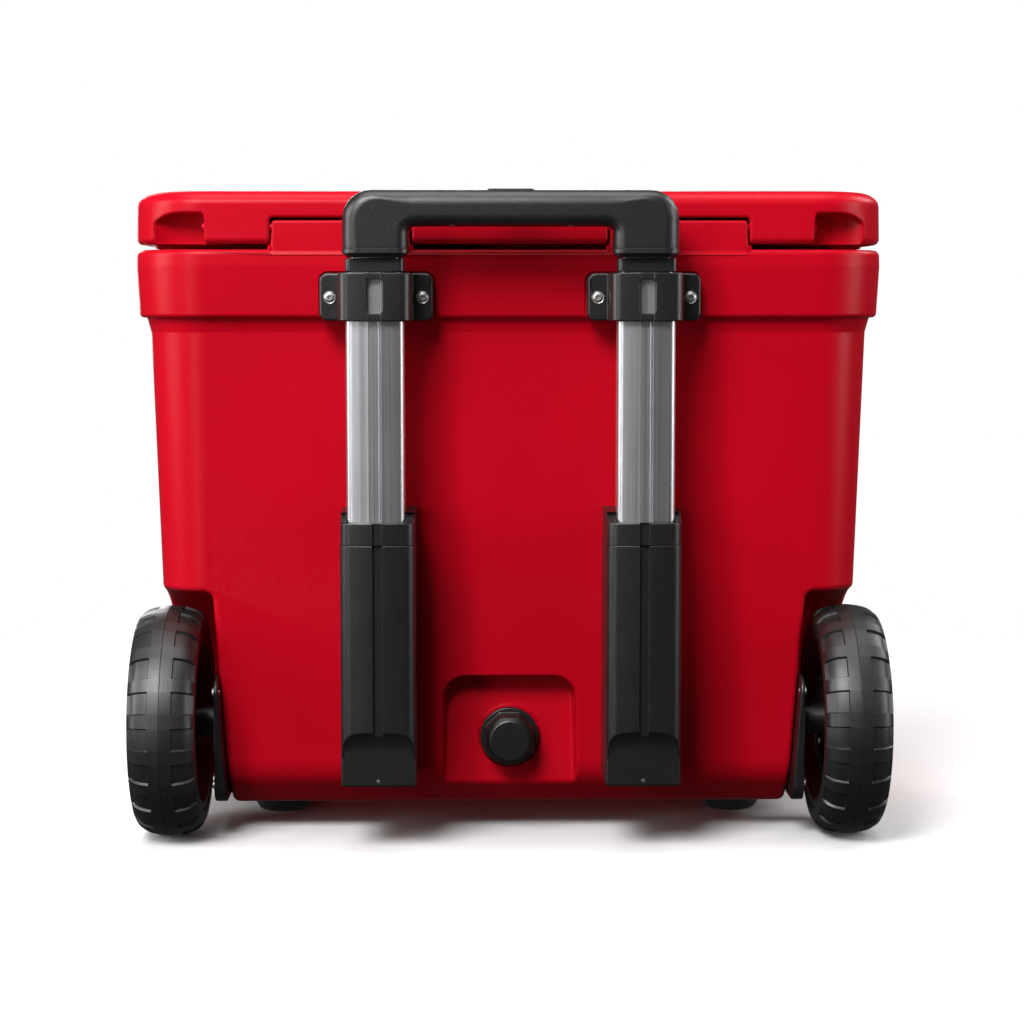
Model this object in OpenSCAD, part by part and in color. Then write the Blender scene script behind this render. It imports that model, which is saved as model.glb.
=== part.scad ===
// Hard cooler on two wheels with a two-stage pull handle.
// The handle and the wheels are on the -Y side, the latches on the +Y side, and Z = 0 is the ground.

/* [Tub] */
// Width across the rim
rim_w = 597; // [580:1:610]
// Rim wall on the handle side
rim_back = -190; // [-192:0.5:-188]
// Rim wall on the latch side
rim_front = 222; // [218:0.5:224]
// Height of the tub's open top edge
rim_top = 469.5; // [468:0.5:470]
// Height of the thick band round the top of the tub
rim_h = 53.5; // [45:0.5:60]
// Corner radius of the rim and the lid, seen from above
rim_r = 60; // [50:1:65]
// How far the tub's walls stand in under the rim
rim_step = 11; // [8:0.5:13]
// Lean of the tub's outer walls, in millimetres for each millimetre of height
draft = 0.033; // [0.02:0.001:0.04]
// Height of the tub's underside
tub_bottom = 22; // [18:1:26]
// Width of the sloping edge round the tub's underside
tub_chamfer = 26; // [15:1:28]
// Thickness of the moulded red skin
skin = 3.5; // [3:0.5:5]

/* [Cold space] */
// Half width of the cold space at the top
cold_half_w = 232; // [225:1:234]
// Back wall of the cold space at the top
cold_back = -132; // [-134:1:-128]
// Front wall of the cold space at the top
cold_front = 166; // [160:1:168]
// Floor of the cold space
cold_floor = 76; // [74:1:80]
// Corner radius of the cold space
cold_r = 35; // [25:1:40]
// Half width left between the two wheel humps inside
hump_half_w = 195; // [190:1:198]

/* [Lid] */
// Height of the lid's lower edge
lid_bottom = 473.5; // [473:0.5:474]
// Height of the lid's top
lid_top = 516; // [514:0.5:518]
// Radius round the lid's top edge
lid_edge_r = 12; // [8:1:14]
// How deep the lid's plug reaches into the tub
plug_depth = 17; // [12:1:24]

/* [Hinge] */
// Hinge axis, from the tub's centre
hinge_y = -183.5; // [-184:0.5:-183]
// Hinge axis height
hinge_z = 486.6; // [486:0.1:487]
// Radius of the hinge pins
pin_r = 3; // [2.5:0.5:3]

/* [Handle] */
// Distance from the middle of the cooler to each tube
tube_x = 104; // [100:0.5:108]
// Middle of the tubes, front to back
tube_y = -226; // [-227:0.5:-226]
// Width of the outer tubes
tube_w = 45; // [44:0.5:46]
// Depth of the outer tubes
tube_d = 24; // [23:0.5:25]
// Width of the groove down each tube
groove_w = 9.4; // [8:0.2:11]
// Top of the two clamps, where the outer tubes end
clamp_top = 450.8; // [448:0.2:452]
// Height of the clamps
clamp_h = 37; // [33:0.5:40]
// Width across a clamp's two ears
clamp_w = 88; // [86:1:92]
// Top of the grip
grip_top = 514.6; // [512:0.2:515]
// Height of the grip's bar
bar_h = 28.8; // [26:0.2:30]

/* [Wheels] */
// Radius of the wheels
wheel_r = 92.5; // [90:0.5:93]
// Middle of the wheels, front to back
axle_y = -155; // [-157:0.5:-153]
// Inner side of the tyres
tyre_in = 245; // [244:0.5:246]
// Outer side of the tyres
tyre_out = 298; // [296:0.5:300]
// Radius of the stub axles
axle_r = 6; // [5:0.5:7]
// Number of spokes in each wheel
spokes = 6; // [5:1:8]

/* [Drain] */
// Height of the drain's axis
drain_z = 79.5; // [78:0.1:90]
// Radius of the drain plug's flange
flange_r = 23.6; // [22:0.2:25]

/* [Latches] */
// Distance from the middle of the cooler to each latch
latch_x = 170; // [150:1:190]
// Width of a latch
latch_w = 64; // [56:1:72]
// Latch axis, in front of the lid
latch_y = 229; // [228.5:0.5:229.5]
// Latch axis height
latch_z = 500; // [498:0.5:501]

/* [Hidden] */

$fn = 48;
eps = 1;
left = -1;
right = 1;
shell_red = [0.77, 0.04, 0.11];
black = [0.09, 0.09, 0.09];
dark_grey = [0.16, 0.16, 0.16];
silver = [0.72, 0.73, 0.75];
steel = [0.62, 0.63, 0.65];
foam_cream = [0.93, 0.88, 0.74];

rim_bottom = rim_top - rim_h;
wall_half_w = rim_w / 2 - rim_step;
wall_back = rim_back + rim_step;
wall_front = rim_front - rim_step;
wall_r = rim_r - rim_step;
far = 400;

well_gap = 12.5;
well_r = wheel_r + well_gap;
well_half_w = 223.5;
well_lean = 0.069;
foot_r = 23.5;
foot_x = 190;

cold_draft = 0.025;
hump_gap = 30;

hinge_block_in = 78;
hinge_block_out = 186;
hinge_block_top = 492;
hinge_block_front = -160;
hinge_gap = 1.5;
hinge_block_r = 5.4;
hinge_block_set_in = 0.6;
hinge_pin_in = 58;
hinge_pin_out = 240;
corner_recess_in = 238;
corner_recess_out = 276;
corner_recess_top = 497;
corner_recess_front = -166;
running_gap = 0.06;

recess_half_w = 53;
recess_top = 134;
recess_floor_high = -150;
recess_floor_low = -163;
recess_r = 16;
seat_y = -155;
drain_bore_r = 9;
liner_r = 13;
seal_r = 17;
seal_back = seat_y - 3;
knob_depth = 26;
knob_r = 20.5;
knob_face_r = 15.8;

fill_hole_r = 11;
tub_fill_x = 110;
tub_fill_y = 60;
lid_fill_x = 120;
lid_fill_y = 20;

slide_gap = 0.4;
tube_wall = 1.8;
thin_wall = 1.6;
middle_w = tube_w - 2 * (tube_wall + slide_gap);
middle_d = tube_d - 2 * (tube_wall + slide_gap);
inner_w = middle_w - 2 * (thin_wall + slide_gap);
inner_d = middle_d - 2 * (thin_wall + slide_gap);
outer_tube_bottom = 62.5;
middle_tube_bottom = 70;
inner_tube_bottom = 84;
inner_tube_top = 486;
collar_top = 461.7;
leg_w = 51;
grip_back = -247.3;
grip_front = -214.3;
grip_leg_bottom = 462.3;
rod_r = 3;
rod_channel_r = 4.2;
button_travel = 4.5;
grip_outer_r = 22;
grip_inner_r = 5;
grip_section_r = 10;
bar_bottom = grip_top - bar_h;
yoke_bottom = 494;
yoke_top = 501;
yoke_half_d = 4;
button_half_w = 18.4;
button_half_d = 8;
button_proud = 0.9;
underplate_half_w = 70;
underplate_set_in = 6;
underplate_h = 3;
grip_screw_x = 45;
grip_screw_y = -237.8;
grip_screw_r = 1.6;
grip_screw_head_r = 2.8;
spring_r = 4;

boot_top = 267;
boot_seam = 242.3;
boot_bottom = 54;
boot_w = 61.4;
boot_back = -246;
boot_corner_r = 10;
boot_screw_z = boot_bottom + 4.5;
boot_front = wall_back + 15;
scoop_top = 96;
scoop_depth = 7;

clamp_bottom = clamp_top - clamp_h;
clamp_ear_back = tube_y + 21;
clamp_bulge_half_w = 27.8;
clamp_bulge_back = tube_y - tube_d / 2 - 5.5;
clamp_screw_x = 36;
clamp_screw_z = clamp_top - 18.8;
clamp_window_w = 12.4;
clamp_window_h = 26;

bracket_face = 235.4;
hub_r = 12.5;
hub_in = 236;
hub_out = 290;
bush_r = 8.5;
core_r = 72;
bracket_half_d = 32;
bracket_bottom = 30;
bracket_top = wheel_r + 38;
bracket_screw_d = 22;
bracket_screw_low = 44;
bracket_screw_high = wheel_r + 26;

latch_bottom = 440;
latch_hook_top = 458.5;
latch_hook_bottom = 450;
latch_thick = 10;
keeper_half_w = 20;
keeper_bottom = 446;
keeper_top = 468;
keeper_screw_x = 26;
keeper_screw_z = 452;
lug_w = 6.5;
lug_r = 7;

// ---- points and simple solids

// Points along an arc about centre c
function arc(c, r, from, to, steps = 8) =
    [for (i = [0:steps]) c + r * [cos(from + (to - from) * i / steps), sin(from + (to - from) * i / steps)]];

// Points of a rectangle with round corners
function round_box(x0, x1, y0, y1, r, steps = 8) = concat(
    arc([x1 - r, y1 - r], r, 0, 90, steps), arc([x0 + r, y1 - r], r, 90, 180, steps),
    arc([x0 + r, y0 + r], r, 180, 270, steps), arc([x1 - r, y0 + r], r, 270, 360, steps)
);

// An outline in Y and Z, swept along X
module along_x(x0, x1, points) {
    translate([x0, 0, 0]) rotate([90, 0, 90]) linear_extrude(x1 - x0) polygon(points);
}

// An outline in X and Z, swept along Y
module along_y(y0, y1, points) {
    translate([0, y1, 0]) rotate([90, 0, 0]) linear_extrude(y1 - y0) polygon(points);
}

// An outline in X and Y, swept up Z
module along_z(z0, z1, points) {
    translate([0, 0, z0]) linear_extrude(z1 - z0) polygon(points);
}

// A cylinder along X from x0 to x1
module rod_x(x0, x1, y, z, r) {
    translate([x0, y, z]) rotate([0, 90, 0]) cylinder(h = x1 - x0, r = r);
}

// A cylinder along Y from y0 to y1
module rod_y(y0, y1, x, z, r) {
    translate([x, y0, z]) rotate([-90, 0, 0]) cylinder(h = y1 - y0, r = r);
}

module box(x0, x1, y0, y1, z0, z1) {
    translate([x0, y0, z0]) cube([x1 - x0, y1 - y0, z1 - z0]);
}

// Puts its child on one side of the cooler: a child drawn for +X is mirrored for the left
module on_side(side) {
    mirror([side < 0 ? 1 : 0, 0, 0]) children();
}

module on_both_sides() {
    for (side = [left, right]) on_side(side) children();
}

// ---- tub

// The tub below its rim, with its walls moved in by t
module tub_walls(t) {
    low = tub_bottom + t;
    lean = draft * (rim_bottom - tub_bottom - tub_chamfer);
    foot_half_w = wall_half_w - t - lean;
    back = wall_back + t;
    front = wall_front - t;
    shoulder = tub_bottom + tub_chamfer;
    top = rim_bottom + t + eps;
    intersection() {
        along_y(-far, far, [
            [-foot_half_w + tub_chamfer, low], [foot_half_w - tub_chamfer, low],
            [foot_half_w, shoulder], [wall_half_w - t, top], [-wall_half_w + t, top], [-foot_half_w, shoulder]
        ]);
        along_x(-far, far, [
            [back + lean + tub_chamfer, low], [front - lean - tub_chamfer, low],
            [front - lean, shoulder], [front, top], [back, top], [back + lean, shoulder]
        ]);
        along_z(0, rim_top, round_box(-wall_half_w + t, wall_half_w - t, back, front, wall_r - t));
    }
}

// The thick band round the top, moved in by t on its sides and underside
module rim_band(t, top) {
    along_z(rim_bottom + t, top,
        round_box(-rim_w / 2 + t, rim_w / 2 - t, rim_back + t, rim_front - t, rim_r - t));
}

// The space that a wheel takes out of the tub, grown by t
module wheel_well(t) {
    intersection() {
        along_y(-far, far, [
            [well_half_w - t, 0], [well_half_w - t + well_lean * rim_bottom, rim_bottom],
            [far, rim_bottom], [far, 0]
        ]);
        along_x(0, far, concat(
            [[-far, 0], [axle_y + well_r + t, 0]], arc([axle_y, wheel_r], well_r + t, 0, 90, 12),
            [[-far, wheel_r + well_r + t]]
        ));
    }
}

// The cold space inside the tub, grown by t
module cold_space(t) {
    lean = cold_draft * (rim_top - cold_floor);
    half_w = cold_half_w + t;
    difference() {
        intersection() {
            along_y(-far, far, [
                [-half_w + lean, cold_floor - t], [half_w - lean, cold_floor - t],
                [half_w, rim_top + eps], [-half_w, rim_top + eps]
            ]);
            along_x(-far, far, [
                [cold_back - t + lean, cold_floor - t], [cold_front + t - lean, cold_floor - t],
                [cold_front + t, rim_top + eps], [cold_back - t, rim_top + eps]
            ]);
            along_z(0, rim_top + eps, round_box(-half_w, half_w, cold_back - t, cold_front + t, cold_r + t));
        }
        on_both_sides()
            box(hump_half_w + t, far, -far, axle_y + well_r + hump_gap - t, 0, wheel_r + well_r + hump_gap - t);
    }
}

// The hollow in the back wall round the drain, grown by t: deep at the top, shallow where it runs out below
module drain_recess(t) {
    floor_low = recess_floor_low + t;
    floor_high = recess_floor_high + t;
    intersection() {
        along_y(-far, 0,
            round_box(-recess_half_w - t, recess_half_w + t, -recess_r, recess_top + t, recess_r + t));
        along_x(-far, far, [
            [-far, 0], [floor_low, 0], [floor_low, tub_bottom],
            [floor_high, recess_top + t], [-far, recess_top + t]
        ]);
    }
}

// The same hollow with the flat round seat that the drain plug closes against
module drain_hollow() {
    seat_r = flange_r + 1.5;
    difference() {
        drain_recess(0);
        rod_y(seat_y, 0, 0, drain_z, seat_r);
    }
    rod_y(-far, seat_y, 0, drain_z, seat_r);
}

// The shallow seat in the rim behind a clamp, grown by t
module clamp_seat(t) {
    seat_depth = 3;
    top = clamp_top + 2 + t;
    half_w = clamp_w / 2 + 4 + t;
    along_y(rim_back - 2, rim_back + seat_depth + t,
        round_box(tube_x - half_w, tube_x + half_w, rim_bottom - 30, top, 8));
}

// One of the two hinge blocks that stand on the rim
module hinge_block() {
    r = hinge_block_r;
    back = rim_back + hinge_block_set_in;
    along_x(hinge_block_in, hinge_block_out, concat(
        [[rim_back, rim_top - eps], [hinge_block_front, rim_top - eps], [hinge_block_front, hinge_block_top]],
        arc([back + r, hinge_block_top - r], r, 90, 180, 6),
        [[back, rim_top + r]]
    ));
}

// Two discs in the tub's underside, where the foam was poured in
module tub_fill_discs(z0, z1) {
    for (x = [-tub_fill_x, tub_fill_x]) translate([x, tub_fill_y, z0]) cylinder(h = z1 - z0, r = fill_hole_r);
}

module tub_foam_space() {
    difference() {
        union() {
            difference() {
                tub_walls(skin);
                on_both_sides() wheel_well(skin);
            }
            rim_band(skin, rim_top - skin);
        }
        cold_space(skin);
        drain_recess(skin);
        rod_y(seat_y - skin, 0, 0, drain_z, flange_r + 1.5);
        on_both_sides() clamp_seat(skin);
    }
}

module tub_shell() {
    color(shell_red) difference() {
        union() {
            difference() {
                tub_walls(0);
                on_both_sides() wheel_well(0);
            }
            rim_band(0, rim_top);
            on_both_sides() hinge_block();
        }
        cold_space(0);
        tub_foam_space();
        drain_hollow();
        rod_y(-far, cold_back + 10, 0, drain_z, liner_r);
        on_both_sides() clamp_seat(0);
        on_both_sides()
            rod_x(hinge_block_in - eps, hinge_block_out + eps, hinge_y, hinge_z, pin_r + running_gap);
        tub_fill_discs(tub_bottom - eps, tub_bottom + skin + eps);
    }
}

module tub_foam() {
    color(foam_cream) tub_foam_space();
}

module tub_fill_plugs() {
    color(black) tub_fill_discs(tub_bottom, tub_bottom + skin);
}

// ---- drain

module drain_liner() {
    color(black) difference() {
        rod_y(seat_y, cold_back + 10, 0, drain_z, liner_r);
        rod_y(-far, 0, 0, drain_z, drain_bore_r);
    }
}

module drain_seal() {
    color(black) difference() {
        rod_y(seal_back, seat_y - 0.3, 0, drain_z, seal_r);
        rod_y(-far, 0, 0, drain_z, drain_bore_r - 0.3);
    }
}

module drain_plug() {
    knob_back = seal_back - knob_depth;
    flange_back = seal_back - 5;
    color(black) union() {
        rod_y(flange_back, seal_back, 0, drain_z, flange_r);
        rod_y(seal_back - eps, seat_y + 20, 0, drain_z, drain_bore_r - 0.3);
        intersection() {
            translate([0, flange_back + eps, drain_z]) rotate([90, 22.5, 0])
                cylinder(h = knob_depth, r = knob_r, $fn = 8);
            translate([0, knob_back, drain_z]) rotate([-90, 0, 0])
                cylinder(h = knob_depth, r1 = knob_face_r, r2 = knob_face_r + knob_depth);
        }
    }
}

// ---- lid

// The lid's block before its cut-outs, moved in by t
module lid_block(t) {
    r = lid_edge_r;
    half_w = rim_w / 2 - 0.5 - t;
    top = lid_top - t;
    back = rim_back + t;
    front = rim_front - t;
    intersection() {
        along_z(lid_bottom + t, top, round_box(-half_w, half_w, back, front, rim_r - t));
        along_y(-far, far, concat(
            arc([half_w - r, top - r], r, 0, 90, 5), arc([-half_w + r, top - r], r, 90, 180, 5),
            [[-half_w, lid_bottom], [half_w, lid_bottom]]
        ));
        along_x(-far, far, concat(
            arc([front - r, top - r], r, 0, 90, 5), arc([back + r, top - r], r, 90, 180, 5),
            [[back, lid_bottom], [front, lid_bottom]]
        ));
    }
}

// The plug under the lid, moved in by t
module lid_plug(t) {
    gap = 6 + t;
    along_z(lid_bottom - plug_depth + t, lid_bottom + t + eps,
        round_box(-cold_half_w + gap, cold_half_w - gap, cold_back + gap, cold_front - gap, cold_r - 6 - t));
}

// What is cut from the back of the lid: room for a hinge block, and a finger recess at the corner
module lid_cutouts(t) {
    box(hinge_block_in - hinge_gap - t, hinge_block_out + hinge_gap + t,
        -far, hinge_block_front + 3 + t, 0, hinge_block_top + 2 + t);
    along_y(-far, corner_recess_front + t,
        round_box(corner_recess_in - t, corner_recess_out + t, lid_bottom - 30, corner_recess_top + t, 8));
}

// The two ears that hold a latch's pin
module lid_lugs() {
    for (x = [latch_x - latch_w / 2 - lug_w - 0.5, latch_x + latch_w / 2 + 0.5]) {
        rod_x(x, x + lug_w, latch_y, latch_z, lug_r);
        box(x, x + lug_w, rim_front - lug_r * 2, latch_y, latch_z - lug_r, latch_z + lug_r);
    }
}

module lid_foam_space() {
    difference() {
        union() {
            lid_block(skin);
            lid_plug(skin);
        }
        on_both_sides() lid_cutouts(skin);
        on_both_sides() rod_x(0, far, hinge_y, hinge_z, pin_r + 3);
        on_both_sides() box(0, far, -far, hinge_y + 12, 0, lid_top - skin - 14);
    }
}

// Two discs in the lid's underside, where the foam was poured in
module lid_fill_discs(grow) {
    for (x = [-lid_fill_x, lid_fill_x]) translate([x, lid_fill_y, lid_bottom - plug_depth - grow])
        cylinder(h = skin + 2 * grow, r = fill_hole_r);
}

module lid_shell() {
    color(shell_red) difference() {
        union() {
            lid_block(0);
            lid_plug(0);
            on_both_sides() lid_lugs();
        }
        lid_foam_space();
        lid_fill_discs(eps);
        on_both_sides() lid_cutouts(0);
        on_both_sides() rod_x(hinge_pin_in, hinge_pin_out, hinge_y, hinge_z, pin_r);
        on_both_sides() rod_x(latch_x - far, latch_x + far, latch_y, latch_z, pin_r);
    }
}

module lid_foam() {
    color(foam_cream) lid_foam_space();
}

module lid_fill_plugs() {
    color(black) lid_fill_discs(0);
}

module lid_gasket() {
    inner = 3;
    outer = 11;
    color(dark_grey) difference() {
        along_z(rim_top + 0.3, lid_bottom, round_box(-cold_half_w - outer, cold_half_w + outer,
            cold_back - outer, cold_front + outer, cold_r + outer));
        along_z(rim_top - eps, lid_bottom + eps, round_box(-cold_half_w - inner, cold_half_w + inner,
            cold_back - inner, cold_front + inner, cold_r + inner));
    }
}

module hinge_pins() {
    color(steel) on_both_sides() rod_x(hinge_pin_in, hinge_pin_out, hinge_y, hinge_z, pin_r);
}

// ---- latches

module latch_pins() {
    half = latch_w / 2 + 7;
    color(steel) on_both_sides() rod_x(latch_x - half, latch_x + half, latch_y, latch_z, pin_r);
}

module latch(side) {
    half = latch_w / 2;
    inside = latch_y - 1;
    outside = inside + latch_thick;
    lip = rim_front + 25.5;
    color(black) on_side(side) difference() {
        union() {
            rod_x(latch_x - half, latch_x + half, latch_y, latch_z, 6.4);
            along_x(latch_x - half, latch_x + half, [
                [inside, latch_z], [inside, latch_hook_top], [inside - 5, latch_hook_top],
                [inside - 5, latch_hook_top - 5], [inside, latch_hook_bottom], [inside, latch_bottom + 8],
                [outside, latch_bottom], [lip, latch_bottom], [lip, latch_bottom + 3],
                [outside, latch_bottom + 16], [outside, latch_z - 8], [outside - 3, latch_z]
            ]);
        }
        rod_x(latch_x - half - eps, latch_x + half + eps, latch_y, latch_z, pin_r + running_gap);
    }
}

module latch_keepers() {
    plate = rim_front + 0.8;
    hook = rim_front + 5.5;
    color(black) on_both_sides() along_x(latch_x - keeper_half_w, latch_x + keeper_half_w, [
        [rim_front, keeper_bottom], [plate, keeper_bottom], [plate, latch_hook_top + 0.5],
        [hook, latch_hook_top + 1], [hook, keeper_top - 4], [rim_front + 2, keeper_top], [rim_front, keeper_top]
    ]);
}

module keeper_screws() {
    color(steel) on_both_sides() for (x = [latch_x - keeper_screw_x, latch_x + keeper_screw_x]) {
        rod_y(rim_front, rim_front + 0.8, x, keeper_screw_z, 3.5);
    }
}

// ---- handle: parts fixed to the tub

// A rectangular tube on the handle's right-hand line, with a groove down its outer face
module square_tube(w, d, wall, z0, z1, groove_depth) {
    x = tube_x;
    difference() {
        along_z(z0, z1, round_box(x - w / 2, x + w / 2, tube_y - d / 2, tube_y + d / 2, 3, 4));
        along_z(z0 - eps, z1 + eps, round_box(x - w / 2 + wall, x + w / 2 - wall,
            tube_y - d / 2 + wall, tube_y + d / 2 - wall, 1.2, 4));
        if (groove_depth > 0)
            box(x - groove_w / 2, x + groove_w / 2,
                tube_y - d, tube_y - d / 2 + groove_depth, z0 - eps, z1 + eps);
    }
}

module tube_hole(gap, z0, z1) {
    box(tube_x - tube_w / 2 - gap, tube_x + tube_w / 2 + gap,
        tube_y - tube_d / 2 - gap, tube_y + tube_d / 2 + gap, z0, z1);
}

module outer_tube(side) {
    color(silver) on_side(side)
        square_tube(tube_w, tube_d, tube_wall, outer_tube_bottom, clamp_top - 0.3, 0.9);
}

module clamp(side) {
    window_top = clamp_top - 5;
    color(black) on_side(side) difference() {
        union() {
            along_y(clamp_ear_back, rim_back + 3,
                round_box(tube_x - clamp_w / 2, tube_x + clamp_w / 2, clamp_bottom, clamp_top, 5));
            along_z(clamp_bottom, clamp_top, round_box(tube_x - clamp_bulge_half_w, tube_x + clamp_bulge_half_w,
                clamp_bulge_back, clamp_ear_back + 6, 5));
        }
        tube_hole(0.1, clamp_bottom - eps, clamp_top + eps);
        along_y(clamp_bulge_back - eps, tube_y, round_box(
            tube_x - clamp_window_w / 2, tube_x + clamp_window_w / 2,
            window_top - clamp_window_h, window_top, 3));
        for (x = [tube_x - clamp_screw_x, tube_x + clamp_screw_x])
            rod_y(clamp_ear_back - eps, rim_back + 4, x, clamp_screw_z, 2.6);
    }
}

module clamp_screws() {
    head_h = 2.4;
    color(steel) on_both_sides() for (x = [tube_x - clamp_screw_x, tube_x + clamp_screw_x]) {
        difference() {
            union() {
                rod_y(clamp_ear_back - head_h, clamp_ear_back, x, clamp_screw_z, 4.9);
                rod_y(clamp_ear_back - eps, rim_back + 3, x, clamp_screw_z, 2.5);
            }
            translate([x, clamp_ear_back - 1, clamp_screw_z]) rotate([90, 0, 0])
                cylinder(h = 3, r = 1.9, $fn = 6);
        }
    }
}

// The outline of a boot seen from above: flat to the wall, with a narrower rounded face
function boot_plan(w, back) = let (r = boot_corner_r) concat(
    [[tube_x + w / 2, boot_front]], arc([tube_x + w / 2 - r, back + r], r, 0, -90, 6),
    arc([tube_x - w / 2 + r, back + r], r, -90, -180, 6), [[tube_x - w / 2, boot_front]]
);

// The wall behind a boot leans, so a boot is cut back to it
module behind_wall() {
    lean = draft * (rim_bottom - tub_bottom - tub_chamfer);
    shoulder = tub_bottom + tub_chamfer;
    along_x(0, far, [
        [wall_back + lean + tub_chamfer, tub_bottom], [wall_back + lean, shoulder], [wall_back, rim_bottom],
        [far, rim_bottom], [far, tub_bottom]
    ]);
}

// The space behind the tube, which leaves a boot with thin walls
module boot_hollow(z0, z1) {
    half_w = boot_w / 2 - 4;
    box(tube_x - half_w, tube_x + half_w, tube_y + tube_d / 2 + 4, 0, z0, z1);
}

module boot(side) {
    color(black) on_side(side) difference() {
        along_z(boot_bottom, boot_seam, boot_plan(boot_w, boot_back));
        behind_wall();
        tube_hole(0.1, outer_tube_bottom - 0.1, boot_seam + eps);
        boot_hollow(outer_tube_bottom, boot_seam + eps);
        along_x(tube_x - 25, tube_x + 25, [
            [boot_back - eps, boot_bottom - eps], [boot_back + scoop_depth, boot_bottom - eps],
            [boot_back + scoop_depth, scoop_top - 12], [boot_back - eps, scoop_top]
        ]);
        box(tube_x - 4, tube_x + 4, boot_back - eps, boot_back + 1.5, scoop_top + 6, boot_seam + eps);
        rod_y(boot_back - eps, boot_back + 10, tube_x, boot_screw_z, 2.6);
    }
}

module boot_collar(side) {
    color(black) on_side(side) difference() {
        along_z(boot_seam, boot_top, boot_plan(boot_w - 0.6, boot_back + 0.3));
        behind_wall();
        tube_hole(0.1, boot_seam - eps, boot_top + eps);
        boot_hollow(boot_seam - eps, boot_top - 4);
        along_x(0, far, [
            [-far, boot_top - 8], [tube_y - tube_d / 2, boot_top - 8],
            [tube_y, boot_top], [-far, boot_top + eps]
        ]);
        box(tube_x - 4, tube_x + 4, boot_back - eps, boot_back + 1.5, boot_seam - eps, boot_top + eps);
    }
}

module boot_screws() {
    color(steel) on_both_sides() rod_y(boot_back + scoop_depth, boot_back + 10, tube_x, boot_screw_z, 2.6);
}

// ---- handle: middle stage

module middle_tube(side) {
    color(silver) on_side(side)
        square_tube(middle_w, middle_d, thin_wall, middle_tube_bottom, clamp_top + 0.5, 0);
}

module middle_collar(side) {
    z0 = clamp_top + 0.5;
    color(black) on_side(side) difference() {
        along_z(z0, collar_top, round_box(tube_x - tube_w / 2, tube_x + tube_w / 2,
            tube_y - tube_d / 2, tube_y + tube_d / 2, 4, 4));
        box(tube_x - inner_w / 2 - slide_gap, tube_x + inner_w / 2 + slide_gap,
            tube_y - inner_d / 2 - slide_gap, tube_y + inner_d / 2 + slide_gap, z0 - eps, collar_top + eps);
    }
}

module middle_end_plugs() {
    color(black) on_both_sides() along_z(middle_tube_bottom - 6, middle_tube_bottom, round_box(
        tube_x - middle_w / 2, tube_x + middle_w / 2, tube_y - middle_d / 2, tube_y + middle_d / 2, 3, 4));
}

// ---- handle: inner stage

module inner_tube(side) {
    color(silver) on_side(side)
        square_tube(inner_w, inner_d, thin_wall, inner_tube_bottom, inner_tube_top, 0);
}

module inner_lock_blocks() {
    color(black) on_both_sides() difference() {
        along_z(inner_tube_bottom - 8, inner_tube_bottom, round_box(
            tube_x - inner_w / 2, tube_x + inner_w / 2, tube_y - inner_d / 2, tube_y + inner_d / 2, 2, 4));
        translate([tube_x, tube_y, inner_tube_bottom - 9]) cylinder(h = 12, r = rod_channel_r);
    }
}

// The grip seen from behind: two legs joined by a bar
function grip_outline() = let (
    out = tube_x + leg_w / 2, in = tube_x - leg_w / 2, ro = grip_outer_r, ri = grip_inner_r
) concat(
    [[out, grip_leg_bottom]],
    arc([out - ro, grip_top - ro], ro, 0, 90), arc([-out + ro, grip_top - ro], ro, 90, 180),
    [[-out, grip_leg_bottom], [-in, grip_leg_bottom]],
    arc([-in + ri, bar_bottom - ri], ri, 180, 90, 4), arc([in - ri, bar_bottom - ri], ri, 90, 0, 4),
    [[in, grip_leg_bottom]]
);

module grip() {
    slot_gap = 0.7;
    color(black) difference() {
        intersection() {
            along_y(grip_back, grip_front, grip_outline());
            along_x(-far, far, round_box(grip_back, grip_front, grip_leg_bottom - 20, grip_top, grip_section_r));
        }
        on_both_sides() box(tube_x - inner_w / 2, tube_x + inner_w / 2,
            tube_y - inner_d / 2, tube_y + inner_d / 2, grip_leg_bottom - eps, inner_tube_top);
        box(-tube_x - 6, tube_x + 6, tube_y - yoke_half_d - slot_gap, tube_y + yoke_half_d + slot_gap,
            yoke_bottom - button_travel - 1, yoke_top + 1);
        on_both_sides() translate([tube_x, tube_y, grip_leg_bottom])
            cylinder(h = yoke_bottom - grip_leg_bottom, r = rod_channel_r);
        box(-button_half_w - 0.6, button_half_w + 0.6,
            tube_y - button_half_d - 0.5, tube_y + button_half_d + 0.5,
            yoke_top - button_travel - 1, grip_top + eps);
        grip_plate(underplate_h, eps);
        grip_screw_spots() cylinder(h = 10, r = grip_screw_r);
        translate([0, tube_y, bar_bottom + 2]) cylinder(h = 4, r = spring_r + 0.5);
    }
}

// The plate that closes the underside of the grip's bar
module grip_plate(h, below) {
    box(-underplate_half_w, underplate_half_w, grip_back + underplate_set_in, grip_front - underplate_set_in,
        bar_bottom - below, bar_bottom + h);
}

// Puts its child at the two screws of the grip's plate
module grip_screw_spots() {
    for (x = [-grip_screw_x, grip_screw_x]) translate([x, grip_screw_y, bar_bottom]) children();
}

module grip_underplate() {
    color(black) difference() {
        grip_plate(underplate_h, 0);
        grip_screw_spots() translate([0, 0, -eps]) cylinder(h = 6, r = grip_screw_head_r);
    }
}

module grip_screws() {
    color(steel) grip_screw_spots() translate([0, 0, 0.5]) {
        cylinder(h = underplate_h - 0.5, r = grip_screw_head_r);
        cylinder(h = 8, r = grip_screw_r);
    }
}

// ---- handle: release

module release_button() {
    w = button_half_w;
    top = grip_top + button_proud;
    color(dark_grey) intersection() {
        box(-w, w, tube_y - button_half_d, tube_y + button_half_d, yoke_top, top);
        along_y(-far, far, round_box(-w, w, yoke_top - 10, top, 4, 4));
    }
}

module release_yoke() {
    color(dark_grey)
        box(-tube_x - 5, tube_x + 5, tube_y - yoke_half_d, tube_y + yoke_half_d, yoke_bottom, yoke_top);
}

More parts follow.
